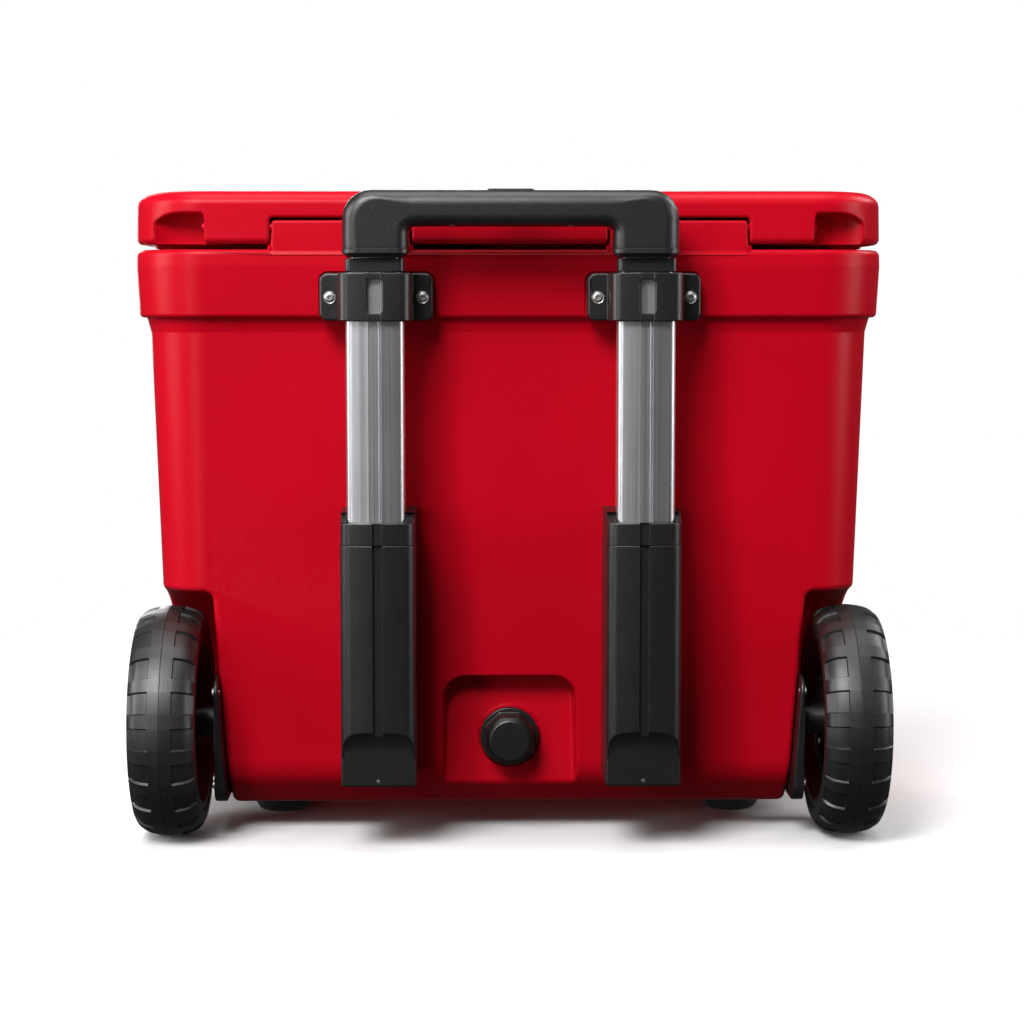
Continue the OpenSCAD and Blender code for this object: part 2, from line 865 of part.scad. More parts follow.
module release_rods() {
    bottom = inner_tube_bottom - 2;
    color(steel) on_both_sides() translate([tube_x, tube_y, bottom])
        cylinder(h = yoke_bottom - bottom, r = rod_r);
}

module button_spring() {
    bottom = bar_bottom + underplate_h;
    color(steel) difference() {
        translate([0, tube_y, bottom]) cylinder(h = yoke_bottom - bottom - 0.3, r = spring_r);
        translate([0, tube_y, bottom - eps]) cylinder(h = yoke_bottom - bottom + 2, r = spring_r - 1);
    }
}

// ---- wheels

module axle_bracket(side) {
    high = bracket_top + eps;
    color(black) on_side(side) difference() {
        intersection() {
            along_y(-far, far, [
                [well_half_w, 0], [well_half_w + well_lean * high, high], [bracket_face, high], [bracket_face, 0]
            ]);
            along_x(0, far, round_box(
                axle_y - bracket_half_d, axle_y + bracket_half_d, bracket_bottom, bracket_top, 14));
        }
        rod_x(0, far, axle_y, wheel_r, axle_r);
    }
}

module bracket_screws() {
    color(steel) on_both_sides() for (
        y = [axle_y - bracket_screw_d, axle_y + bracket_screw_d], z = [bracket_screw_low, bracket_screw_high]
    ) rod_x(bracket_face, bracket_face + 2.2, y, z, 4.5);
}

module axle(side) {
    color(steel) on_side(side) rod_x(bracket_face - 4, hub_out + 1.5, axle_y, wheel_r, axle_r);
}

module axle_nut(side) {
    color(steel) on_side(side) translate([hub_out + 0.5, axle_y, wheel_r]) rotate([0, 90, 0]) difference() {
        cylinder(h = 3.2, r = 9.2, $fn = 6);
        translate([0, 0, -eps]) cylinder(h = 2, r = axle_r);
    }
}

// Half of the tyre's section: radius against distance along the axle
function tyre_section() = concat(
    [[core_r, 0]], arc([wheel_r - 14, 10], 10, -90, -10, 5),
    [[wheel_r - 1, 18], [wheel_r, 26.5], [wheel_r - 1, 35]],
    arc([wheel_r - 14, 43], 10, 10, 90, 5), [[core_r, tyre_out - tyre_in]]
);

module tyre(side) {
    color(dark_grey) on_side(side) translate([tyre_in, axle_y, wheel_r]) rotate([0, 90, 0])
        rotate_extrude($fn = 96) polygon(tyre_section());
}

// One opening between two spokes
function spoke_gap(r0, r1, half_angle_in, half_angle_out) = concat(
    arc([0, 0], r1, -half_angle_out, half_angle_out, 5), arc([0, 0], r0, half_angle_in, -half_angle_in, 3)
);

module wheel_core(side) {
    disc_in = 8;
    disc_out = 45;
    color(black) on_side(side) translate([tyre_in, axle_y, wheel_r]) rotate([0, 90, 0]) difference() {
        union() {
            rotate_extrude($fn = 96) polygon([
                [core_r, 1], [core_r, 52], [core_r - 7, 52], [core_r - 9, disc_out], [22, disc_out - 6],
                [22, disc_in + 6], [core_r - 9, disc_in], [core_r - 7, 1]
            ]);
            translate([0, 0, hub_in - tyre_in]) cylinder(h = hub_out - hub_in, r = hub_r);
            translate([0, 0, disc_in + 6]) cylinder(h = disc_out - disc_in - 12, r = 24);
        }
        for (i = [0:spokes - 1]) rotate([0, 0, i * 360 / spokes]) translate([0, 0, -eps])
            linear_extrude(60) polygon(spoke_gap(30, core_r - 12, 14, 22));
        translate([0, 0, -20]) cylinder(h = 100, r = bush_r);
        translate([0, 0, hub_out - tyre_in - 0.2]) cylinder(h = 10, r = hub_r + 2);
    }
}

module wheel_bush(side) {
    color(silver) on_side(side) difference() {
        rod_x(hub_in, hub_out - 0.2, axle_y, wheel_r, bush_r);
        rod_x(0, far, axle_y, wheel_r, axle_r + running_gap);
    }
}

module hub_cap(side) {
    color(black) on_side(side) translate([tyre_in, axle_y, wheel_r]) rotate([0, 90, 0]) rotate_extrude($fn = 64)
        polygon([
            [hub_r + 0.1, 41], [24, 40], [24, 42], [18, 51.5], [0, 52.5], [0, 50],
            [11.5, 50], [hub_r + 0.1, 49]
        ]);
}

// ---- feet

module feet(y) {
    color(black) on_both_sides() translate([foot_x, y, 0]) {
        cylinder(h = 4, r1 = foot_r - 3, r2 = foot_r);
        translate([0, 0, 4]) cylinder(h = tub_bottom - 4, r = foot_r);
    }
}

tub_shell();
tub_foam();
tub_fill_plugs();
drain_liner();
lid_shell();
lid_foam();
lid_fill_plugs();
lid_gasket();
hinge_pins();
latch_pins();
latch(left);  // left_latch
latch(right);  // right_latch
latch_keepers();
keeper_screws();
clamp(left);  // left_clamp
clamp(right);  // right_clamp
clamp_screws();
outer_tube(left);  // left_outer_tube
outer_tube(right);  // right_outer_tube
boot(left);  // left_boot
boot(right);  // right_boot
boot_collar(left);  // left_boot_collar
boot_collar(right);  // right_boot_collar
boot_screws();
middle_tube(left);  // left_middle_tube
middle_tube(right);  // right_middle_tube
middle_collar(left);  // left_middle_collar
middle_collar(right);  // right_middle_collar
middle_end_plugs();
inner_tube(left);  // left_inner_tube
inner_tube(right);  // right_inner_tube
inner_lock_blocks();
grip();
grip_underplate();
grip_screws();
release_button();
release_yoke();
release_rods();
button_spring();
axle_bracket(left);  // left_axle_bracket
axle_bracket(right);  // right_axle_bracket
bracket_screws();
axle(left);  // left_axle
axle(right);  // right_axle
axle_nut(left);  // left_axle_nut
axle_nut(right);  // right_axle_nut
tyre(left);  // left_tyre
tyre(right);  // right_tyre
wheel_core(left);  // left_wheel_core
wheel_core(right);  // right_wheel_core
wheel_bush(left);  // left_wheel_bush
wheel_bush(right);  // right_wheel_bush
hub_cap(left);  // left_hub_cap
hub_cap(right);  // right_hub_cap
drain_plug();
drain_seal();
feet(150);  // front_feet
feet(-55);  // rear_feet
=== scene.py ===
"""Looks of the hard cooler on two wheels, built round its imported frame. All lengths are metres.

The handle, the wheels and the drain face -Y, the latches face +Y, and Z = 0 is the ground.
"""

from math import atan2, cos, pi, radians, sin, sqrt

import bmesh
import bpy
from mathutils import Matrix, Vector


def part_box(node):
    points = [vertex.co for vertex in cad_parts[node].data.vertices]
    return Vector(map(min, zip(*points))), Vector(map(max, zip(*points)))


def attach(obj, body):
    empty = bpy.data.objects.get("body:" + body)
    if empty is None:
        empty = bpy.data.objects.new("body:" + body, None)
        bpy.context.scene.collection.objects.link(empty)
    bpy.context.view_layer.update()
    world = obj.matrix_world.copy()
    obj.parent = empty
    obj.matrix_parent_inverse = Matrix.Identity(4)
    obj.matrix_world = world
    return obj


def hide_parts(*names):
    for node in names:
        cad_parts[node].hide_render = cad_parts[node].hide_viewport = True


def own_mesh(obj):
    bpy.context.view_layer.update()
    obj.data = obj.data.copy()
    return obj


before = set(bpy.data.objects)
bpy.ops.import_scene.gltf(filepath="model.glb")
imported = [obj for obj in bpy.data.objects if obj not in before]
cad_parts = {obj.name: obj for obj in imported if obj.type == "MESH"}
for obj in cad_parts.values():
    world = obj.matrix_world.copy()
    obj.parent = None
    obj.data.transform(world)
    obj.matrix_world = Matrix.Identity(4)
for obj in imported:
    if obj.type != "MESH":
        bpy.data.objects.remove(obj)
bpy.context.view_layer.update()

LEFT, RIGHT = SIDES = -1, 1
WORDS = (RIGHT, "right"), (LEFT, "left")

# ---- places taken from the frame

tub_low, tub_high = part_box("tub_shell")
lid_low, lid_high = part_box("lid_shell")
rim_half = tub_high.x
rim_back, rim_front = tub_low.y, tub_high.y
rim_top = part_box("lid_gasket")[0].z - 0.0003
tub_bottom = tub_low.z
lid_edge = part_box("lid_gasket")[1].z
lid_top = lid_high.z
plug_bottom = lid_low.z
block_top = tub_high.z
tube_low, tube_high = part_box("right_outer_tube")
tube_x = (tube_low.x + tube_high.x) / 2
tube_y = (tube_low.y + tube_high.y) / 2
clamp_low, clamp_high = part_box("right_clamp")
wheel_low, wheel_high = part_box("right_tyre")
axle_y = (wheel_low.y + wheel_high.y) / 2
axle_z = (wheel_low.z + wheel_high.z) / 2
wheel_r = (wheel_high.z - wheel_low.z) / 2
drain_low, drain_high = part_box("drain_plug")
drain_z = (drain_low.z + drain_high.z) / 2
hinge_low, hinge_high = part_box("hinge_pins")
boot_low, boot_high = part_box("right_boot")
collar_low, collar_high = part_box("right_boot_collar")
grip_low, grip_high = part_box("grip")
hinge_y = (hinge_low.y + hinge_high.y) / 2
hinge_z = (hinge_low.z + hinge_high.z) / 2

# ---- sizes of the tub and the lid

RIM_R = 0.060
RIM_H = 0.0535
STEP = 0.011
DRAFT = 0.033
CHAMFER = 0.026
SKIN = 0.004
COLD_HALF, COLD_BACK, COLD_FRONT, COLD_FLOOR, COLD_R = 0.232, -0.132, 0.166, 0.076, 0.035
WELL_X, WELL_LEAN, WELL_GAP = 0.2235, 0.069, 0.0125
EAR_BACK = tube_y + 0.021
BOOT_MID = tube_x - 0.0014
GRIP_HALF_DEPTH = 0.0160
TREAD_BLOCKS = 20
BOOT_HALF = 0.029
BLOCK_IN, BLOCK_OUT = 0.078, 0.186
LATCH_X, LATCH_HALF = 0.170, 0.032
DRAIN_HOLE_R, DRAIN_SEAT_R = 0.013, 0.0251
UNDER_LID = 0.40
FAR = 0.4
PLUG_GAP = 0.006
LUG_R = 0.007
CLAMP_SCREW_R = 0.0049
GROOVE_HALF = 0.0037
GRIP_SCREW_X, GRIP_SCREW_Y = 0.045, -0.2378
rim_bottom = rim_top - RIM_H
wall_lean = DRAFT * (rim_bottom - tub_bottom - CHAMFER)


# ---- outlines

def arc(centre, radius, start, end, steps=8):
    """Points along an arc, from one angle to the other in degrees."""
    turns = [radians(start + (end - start) * i / steps) for i in range(steps + 1)]
    return [(centre[0] + radius * cos(t), centre[1] + radius * sin(t)) for t in turns]


def round_box(x0, x1, y0, y1, r, steps=8):
    """A rectangle with round corners."""
    return (arc((x1 - r, y1 - r), r, 0, 90, steps) + arc((x0 + r, y1 - r), r, 90, 180, steps)
            + arc((x0 + r, y0 + r), r, 180, 270, steps) + arc((x1 - r, y0 + r), r, 270, 360, steps))


def rounded(points):
    """A line through (a, b, radius) points, with each corner rounded to its radius."""
    line, steps = [], 4
    for i, (a, b, radius) in enumerate(points):
        if radius == 0:
            line.append((a, b))
            continue
        corner = Vector((a, b))
        back = (Vector(points[i - 1][:2]) - corner).normalized()
        on = (Vector(points[i + 1][:2]) - corner).normalized()
        half = back.angle(on) / 2
        reach = radius / max(1e-6, abs(sin(half) / cos(half)))
        centre = corner + (back + on).normalized() * (radius / sin(half))
        first, last = corner + back * reach - centre, corner + on * reach - centre
        start = atan2(first.y, first.x)
        turn = (atan2(last.y, last.x) - start + pi) % (2 * pi) - pi
        line += [(centre.x + radius * cos(start + turn * k / steps),
                  centre.y + radius * sin(start + turn * k / steps))
                 for k in range(steps + 1)]
    return line


# ---- solids

def bridge(bm, rows, others):
    """Faces between rows of the same number of corners."""
    for low, high in zip(rows, others):
        for i in range(len(low)):
            j = (i + 1) % len(low)
            bm.faces.new((low[i], low[j], high[j], high[i]))


def loft(rings):
    """A solid through rings of the same number of points, flat at both ends."""
    bm = bmesh.new()
    rows = [[bm.verts.new(p) for p in ring] for ring in rings]
    bridge(bm, rows, rows[1:])
    bm.faces.new(list(reversed(rows[0])))
    bm.faces.new(rows[-1])
    bmesh.ops.recalc_face_normals(bm, faces=bm.faces)
    return bm


def swept(outline, axis, low, high):
    """An outline carried along an axis from low to high, which are numbers or functions of a point."""
    order = {"x": (2, 0, 1), "y": (0, 2, 1), "z": (0, 1, 2)}[axis]

    def ring(end):
        made = []
        for a, b in outline:
            parts = (a, b, end(a, b) if callable(end) else end)
            made.append(Vector(parts[k] for k in order))
        return made
    return loft([ring(low), ring(high)])


def box(x0, x1, y0, y1, z0, z1):
    return swept([(x0, y0), (x1, y0), (x1, y1), (x0, y1)], "z", z0, z1)


def turned(profile, axis, centre, steps=64):
    """A solid turned round an axis through centre, from (distance along, radius) points."""
    bm = bmesh.new()
    rows = []
    for along, radius in profile:
        if radius < 1e-6:
            rows.append([bm.verts.new(_on_axis(axis, centre, along, 0, 0))])
        else:
            rows.append([bm.verts.new(_on_axis(axis, centre, along, radius * cos(t), radius * sin(t)))
                         for t in (2 * pi * i / steps for i in range(steps))])
    for low, high in zip(rows, rows[1:] + rows[:1]):
        for i in range(steps):
            j = (i + 1) % steps
            corners = [low[i % len(low)], low[j % len(low)], high[j % len(high)], high[i % len(high)]]
            corners = list(dict.fromkeys(corners))
            if len(corners) > 2:
                bm.faces.new(corners)
    bmesh.ops.recalc_face_normals(bm, faces=bm.faces)
    return bm


def _on_axis(axis, centre, along, a, b):
    x, y, z = centre
    return {"x": (x + along, y + a, z + b), "y": (x + a, y + along, z + b),
            "z": (x + a, y + b, z + along)}[axis]


def rod(axis, centre, start, end, radius, steps=48):
    """A solid cylinder from start to end along an axis."""
    return turned([(start, 0), (start, radius), (end, radius), (end, 0)], axis, centre, steps)


def mirrored(bm, side):
    """The solid itself on the right, and its mirror image on the left."""
    if side == LEFT:
        bmesh.ops.scale(bm, vec=(-1, 1, 1), verts=bm.verts)
        bmesh.ops.reverse_faces(bm, faces=bm.faces)
    return bm


def as_mesh(name, bm):
    mesh = bpy.data.meshes.new(name)
    bm.to_mesh(mesh)
    bm.free()
    return mesh


def placed(name, data):
    """A new object in the scene."""
    made = bpy.data.objects.new(name, data)
    bpy.context.scene.collection.objects.link(made)
    return made


def joined(solids):
    """Several separate solids as one mesh."""
    whole = bmesh.new()
    for bm in solids:
        mesh = as_mesh("part", bm)
        whole.from_mesh(mesh)
        bpy.data.meshes.remove(mesh)
    return whole


def _loose(bm):
    return placed("tool", as_mesh("tool", bm))


def _taken(tools):
    """The first tool's mesh with its modifiers, as a bmesh; the tools are removed."""
    graph = bpy.context.evaluated_depsgraph_get()
    mesh = bpy.data.meshes.new_from_object(tools[0].evaluated_get(graph))
    bm = bmesh.new()
    bm.from_mesh(mesh)
    bpy.data.meshes.remove(mesh)
    for tool in tools:
        data = tool.data
        bpy.data.objects.remove(tool)
        bpy.data.meshes.remove(data)
    return bm


def combined(bm, join=(), cut=()):
    """The solid with others joined to it and then others cut from it."""
    tools = [_loose(bm)]
    for operation, solids in (("UNION", join), ("DIFFERENCE", cut)):
        for solid in solids:
            tools.append(_loose(solid))
            step = tools[0].modifiers.new("combine", "BOOLEAN")
            step.operation, step.solver, step.object = operation, "EXACT", tools[-1]
    made = _taken(tools)
    bmesh.ops.remove_doubles(made, verts=made.verts, dist=0.00002)
    bmesh.ops.dissolve_limit(made, angle_limit=radians(0.4), verts=made.verts, edges=made.edges)
    return made


def softened(bm, rules, segments=3):
    """Rounds each sharp edge to the radius of the first rule that its middle passes."""
    if not isinstance(rules, list):
        rules = [(lambda p: True, rules)]
    widest = max(radius for _, radius in rules)
    weight = bm.edges.layers.float.new("bevel_weight_edge")
    bm.normal_update()
    for edge in bm.edges:
        if len(edge.link_faces) != 2 or edge.calc_face_angle() < radians(24):
            continue
        middle = (edge.verts[0].co + edge.verts[1].co) / 2
        for test, radius in rules:
            if test(middle):
                edge[weight] = radius / widest
                break
    tool = _loose(bm)
    bevel = tool.modifiers.new("round", "BEVEL")
    bevel.limit_method, bevel.width, bevel.segments = "WEIGHT", widest, segments
    bevel.use_clamp_overlap = False
    bevel.miter_outer = "MITER_ARC"
    made = _taken([tool])
    bmesh.ops.remove_doubles(made, verts=made.verts, dist=0.00002)
    return made


def node_solid(node):
    """A CAD node's solid as a mesh with whole flat faces, to be worked on."""
    bm = bmesh.new()
    bm.from_mesh(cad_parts[node].data)
    bmesh.ops.remove_doubles(bm, verts=bm.verts, dist=0.00001)
    bmesh.ops.dissolve_limit(bm, angle_limit=radians(0.5), verts=bm.verts, edges=bm.edges)
    return bm


# ---- pieces

def piece(name, bm, body, material, *nodes, smooth=38):
    """Makes a mesh object that rides on a body and stands for CAD nodes."""
    bmesh.ops.recalc_face_normals(bm, faces=bm.faces)
    mesh = as_mesh(name, bm)
    mesh.materials.append(material)
    mesh.shade_smooth()
    mesh.set_sharp_from_angle(angle=radians(smooth))
    made = placed(name, mesh)
    made.modifiers.new("even_shading", "WEIGHTED_NORMAL").keep_sharp = True
    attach(made, body)
    if nodes:
        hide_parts(*nodes)
    return made


def reworked(node, body, material, radius, cut=()):
    """A piece with a CAD node's shape, its edges rounded."""
    bm = node_solid(node)
    if cut:
        bm = combined(bm, cut=cut)
    piece(node + "_shown", softened(bm, radius), body, material, node)


def kept(node, material):
    """A CAD node that stays, with a better material and slightly rounded edges."""
    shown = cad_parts[node]
    for place in shown.material_slots:
        place.material = material
    weld = shown.modifiers.new("weld", "WELD")
    weld.merge_threshold = 0.00001
    bevel = shown.modifiers.new("round", "BEVEL")
    bevel.limit_method, bevel.angle_limit = "ANGLE", radians(30)
    bevel.width, bevel.segments, bevel.harden_normals = 0.0003, 2, True


# ---- materials

class Nodes:
    """A short way to wire a material's nodes."""

    def __init__(self, name):
        self.material = bpy.data.materials.new(name)
        self.material.use_nodes = True
        self.tree = self.material.node_tree
        self.shader = self.tree.nodes["Principled BSDF"]

    def wire(self, value, socket):
        """Links the socket to another node's output, or sets it."""
        if isinstance(value, bpy.types.NodeSocket):
            self.tree.links.new(value, socket)
        else:
            socket.default_value = (*value, 1) if socket.type == "RGBA" else value

    def put(self, kind, **inputs):
        node = self.tree.nodes.new(kind)
        for key, value in inputs.items():
            name = key.replace("_", " ")
            if name in node.inputs:
                self.wire(value, node.inputs[name])
            else:
                setattr(node, key, value)
        return node

    def place(self, stretch=(1, 1, 1)):
        """Object coordinates in metres, stretched along each axis."""
        where = self.put("ShaderNodeTexCoord").outputs["Object"]
        return self.put("ShaderNodeMapping", Vector=where, Scale=stretch).outputs["Vector"]

    def noise(self, scale, detail=2.0, stretch=(1, 1, 1), roughness=0.5):
        made = self.put("ShaderNodeTexNoise", Vector=self.place(stretch), Scale=scale, Detail=detail,
                        Roughness=roughness)
        return made.outputs["Fac"]

    def spread(self, value, low=0, high=1, start=0.3, end=0.7):
        """The value turned into a range from low to high."""
        return self.put("ShaderNodeMapRange", Value=value, From_Min=start, From_Max=end,
                        To_Min=low, To_Max=high).outputs["Result"]

    def blend(self, value, colour_a, colour_b):
        mix = self.put("ShaderNodeMix", data_type="RGBA")
        for given, index in ((value, 0), (colour_a, 6), (colour_b, 7)):
            self.wire(given, mix.inputs[index])
        return mix.outputs[2]

    def edge_highlighted(self, body, grain, high, low_highlight, high_highlight, pale):
        """The body colour with a painted highlight: paler on the edges that stick out, in patches set by
        the grain.
        """
        point = self.put("ShaderNodeNewGeometry").outputs["Pointiness"]
        highlight_amount = self.put("ShaderNodeMath", operation="MULTIPLY")
        self.wire(self.spread(point, 0, 1, 0.53, high), highlight_amount.inputs[0])
        self.wire(self.spread(grain, low_highlight, high_highlight), highlight_amount.inputs[1])
        return self.blend(highlight_amount.outputs[0], body, pale)

    def bump(self, height, depth, strength, **under):
        made = self.put("ShaderNodeBump", Height=height, Distance=depth, Strength=strength, **under)
        return made.outputs["Normal"]

    def set(self, **inputs):
        for key, value in inputs.items():
            self.wire(value, self.shader.inputs[key.replace("_", " ")])
        return self.material


def moulded_shell():
    """Glossy moulded polyethylene with a faint pebble and soft waves, and a painted highlight that makes
    the edges that stick out slightly paler.
    """
    n = Nodes("red_shell")
    speck = n.noise(420, 3)
    body = n.blend(n.spread(n.noise(9, 3)), (0.530, 0.0012, 0.0125), (0.500, 0.0009, 0.0105))
    relief = n.bump(speck, 0.00004, 0.35, Normal=n.bump(n.noise(26, 2), 0.0006, 0.12))
    return n.set(Base_Color=n.edge_highlighted(body, speck, 0.62, 0.0, 0.35, (0.62, 0.05, 0.07)),
                 Roughness=n.spread(speck, 0.30, 0.38), Normal=relief, Specular_IOR_Level=0.13)


def grained_plastic(name, dark, pale, rough, depth, size):
    """Black moulded plastic with a fine grain, and a painted highlight that makes the edges that stick
    out paler grey.
    """
    n = Nodes(name)
    grain = n.noise(size, 4, roughness=0.65)
    body = n.blend(n.spread(n.noise(30, 3)), (dark,) * 3, (pale,) * 3)
    return n.set(Base_Color=n.edge_highlighted(body, grain, 0.65, 0.1, 0.7, (pale * 2.2,) * 3),
                 Roughness=n.spread(grain, rough - 0.06, rough + 0.08),
                 Normal=n.bump(grain, depth, 0.9), Specular_IOR_Level=0.75)


def anodised():
    """Satin anodised aluminium, drawn along its length."""
    n = Nodes("tube_aluminium")
    lines = n.noise(1.0, 5, (2600, 2600, 3), 0.6)
    body = n.blend(n.spread(n.noise(14, 3)), (0.66, 0.67, 0.69), (0.58, 0.59, 0.61))
    return n.set(Base_Color=body, Metallic=1.0, Roughness=n.spread(lines, 0.30, 0.44),
                 Normal=n.bump(lines, 0.00002, 0.35))


def steel():
    """Turned stainless steel with fine marks and a little staining."""
    n = Nodes("stainless")
    marks = n.noise(700, 4)
    body = n.blend(n.spread(n.noise(60, 3), 0, 1, 0.4, 0.8), (0.63, 0.62, 0.60), (0.47, 0.46, 0.45))
    return n.set(Base_Color=body, Metallic=1.0, Roughness=n.spread(marks, 0.32, 0.48),
                 Normal=n.bump(marks, 0.00002, 0.3))


def foam():
    """Cut rigid foam with open cells."""
    n = Nodes("foam")
    cells = n.put("ShaderNodeTexVoronoi", Vector=n.place(), Scale=900.0).outputs["Distance"]
    body = n.blend(n.noise(40, 3), (0.86, 0.80, 0.60), (0.78, 0.70, 0.50))
    return n.set(Base_Color=body, Roughness=0.9, Normal=n.bump(cells, 0.0003, 0.8))


def seal_rubber():
    """Soft dark grey rubber with a dusty bloom."""
    n = Nodes("seal_rubber")
    dust = n.noise(120, 4)
    body = n.blend(n.spread(dust), (0.022, 0.022, 0.023), (0.040, 0.040, 0.041))
    return n.set(Base_Color=body, Roughness=n.spread(dust, 0.62, 0.80),
                 Normal=n.bump(n.noise(1500, 3), 0.00004, 0.6))


def bush_plastic():
    """Pale waxy bearing plastic."""
    n = Nodes("bush_plastic")
    cloud = n.noise(80, 3)
    body = n.blend(n.spread(cloud), (0.70, 0.69, 0.64), (0.60, 0.59, 0.54))
    return n.set(Base_Color=body, Roughness=n.spread(cloud, 0.38, 0.5),
                 Normal=n.bump(n.noise(1200, 2), 0.00002, 0.4))


def floor_paper():
    """Matte white studio floor with a trace of paper grain."""
    n = Nodes("floor")
    body = n.blend(n.spread(n.noise(60, 4)), (0.90, 0.90, 0.90), (0.88, 0.88, 0.88))
    return n.set(Base_Color=body, Roughness=0.9, Specular_IOR_Level=0.1)


RED = moulded_shell()
BLACK = grained_plastic("black_plastic", 0.0040, 0.0070, 0.36, 0.00015, 900)
GRIP = grained_plastic("grip_plastic", 0.0040, 0.0070, 0.38, 0.00015, 1000)
TYRE = grained_plastic("wheel_rubber", 0.0060, 0.0105, 0.40, 0.00016, 900)
ALUMINIUM = anodised()
STEEL = steel()
FOAM = foam()
SEAL = seal_rubber()
BUSH = bush_plastic()


# ---- tub

def plan_ring(half, back, front, r, z, steps=10):
    """A level round-cornered ring."""
    return [Vector((x, y, z)) for x, y in round_box(-half, half, back, front, r, steps)]


def rim_ring(inset, z):
    """A ring parallel to the rim's outline, moved in by inset."""
    return plan_ring(rim_half - inset, rim_back + inset, rim_front - inset, RIM_R - inset, z)


def tub_block():
    foot = STEP + wall_lean
    profile = rounded([
        (foot + CHAMFER + 0.008, tub_bottom, 0), (foot + CHAMFER, tub_bottom, 0.014),
        (foot, tub_bottom + CHAMFER, 0.034), (STEP, rim_bottom - 0.0115, 0.004),
        (0.0078, rim_bottom, 0.0012), (0.0022, rim_bottom, 0.0036), (0.0, rim_top - 0.013, 0.016),
        (0.0004, rim_top, 0.0046), (0.012, rim_top, 0)
    ])
    return loft([rim_ring(inset, z) for inset, z in profile])


def tub_foam_block():
    """The foam between the tub's skins."""
    t = SKIN
    foot = STEP + wall_lean + t
    profile = [(foot + CHAMFER, tub_bottom + t), (foot, tub_bottom + CHAMFER + t / 2),
               (STEP + t, rim_bottom), (t + 0.001, rim_bottom + t), (t, rim_top - 0.014),
               (t + 0.002, rim_top - t)]
    grown = [rim_ring(inset, z) for inset, z in profile]
    cuts = [cold_block(t)]
    for side in SIDES:
        seat = box(tube_x - 0.052, tube_x + 0.052, -FAR, rim_back + 0.003 + t, rim_bottom - 0.04,
                   clamp_high.z + 0.0065)
        cuts += [wheel_well(side, t), mirrored(seat, side)]
    cuts += [swept([(-0.2, 0), (-0.158, 0), (-0.145, 0.140), (-0.2, 0.140)], "x", -0.0600, 0.0600),
             rod("y", (0, 0, drain_z), -0.2, -0.150, 0.029),
             rod("y", (0, 0, drain_z), -0.2, COLD_BACK + 0.015, 0.0150)]
    return combined(loft(grown), cut=cuts)


def cold_block(t=0.0):
    """The cold space inside the tub, grown by t, with its two wheel humps left out."""
    depth = rim_top + 0.01 - COLD_FLOOR
    lean = 0.025 * depth
    rings = []
    for inset, z in rounded([(0.03 + lean, COLD_FLOOR - t, 0), (lean - t, COLD_FLOOR - t, 0.012),
                             (-t, rim_top + 0.01, 0)]):
        rings.append(plan_ring(COLD_HALF - inset, COLD_BACK + inset, COLD_FRONT - inset,
                               max(0.004, COLD_R - inset), z, 8))
    hump_front = axle_y + wheel_r + WELL_GAP + 0.030 - t
    hump_top = axle_z + wheel_r + WELL_GAP + 0.030 - t
    humps = [box(*sorted((side * (0.195 + t), side * 0.4)), -FAR, hump_front, 0, hump_top)
             for side in SIDES]
    return combined(loft(rings), cut=humps)


def wheel_well(side, t=0.0):
    """The space that a wheel takes out of the tub, grown by t."""
    well_r = wheel_r + WELL_GAP + t
    outline = ([(-FAR, -0.05), (axle_y + well_r, -0.05)]
               + arc((axle_y, axle_z), well_r, 0, 90, 12) + [(-FAR, axle_z + well_r)])
    return mirrored(swept(outline, "x", lambda y, z: WELL_X - t + WELL_LEAN * z, 0.4), side)


def wall_at(z):
    """Where the tub's leaning back wall is, at height z."""
    return rim_back + STEP + DRAFT * (rim_bottom - z)


def drain_hollow():
    """The tapering hollow round the drain, as (the hollow, its raised seat, the seat's cutter)."""
    top, low = 0.1295, -0.05
    floor_high, floor_low = -0.150, -0.163
    outline = round_box(-0.0522, 0.0522, low, top, 0.0175)

    def floor(z):
        return floor_low + (floor_high - floor_low) * (z - tub_bottom) / (top - tub_bottom)
    outer, inner = [], []
    for x, z in outline:
        wide = 1 + 0.03 * (top - z) / top
        depth = max(0.002, floor(z) - wall_at(z))
        outer.append(Vector((x * wide * (1 + 0.2 * 0.02 / 0.0535), wall_at(z) - 0.02,
                             z + 0.1 * 0.02)))
        shrink = 1 - 0.10 * depth / 0.0535
        inner.append(Vector((x * wide * shrink, floor(z), z - 0.08 * depth if z > 0 else z)))
    seat_y = -0.155
    seat = rod("y", (0, 0, drain_z), seat_y, seat_y + 0.02, DRAIN_SEAT_R)
    clear = rod("y", (0, 0, drain_z), -0.2, seat_y, DRAIN_SEAT_R)
    return loft([outer, inner]), seat, clear


def hinge_block(side):
    low, high = BLOCK_IN, BLOCK_OUT
    back, front, top = rim_back + 0.0006, -0.160, block_top
    bm = swept([(back, rim_top - 0.02), (front, rim_top - 0.02), (front, top), (back + 0.0004, top)], "x",
               lambda y, z: low - 0.0004 + 0.06 * (z - rim_top),
               lambda y, z: high + 0.0010 - 0.06 * (z - rim_top))
    return mirrored(bm, side)


def clamp_seat(side):
    half = (clamp_high.x - clamp_low.x) / 2 + 0.0014
    bm = swept(round_box(tube_x - half, tube_x + half, rim_bottom - 0.03, clamp_high.z + 0.0014, 0.0072),
               "y", rim_back - 0.004, rim_back + 0.003)
    return mirrored(bm, side)


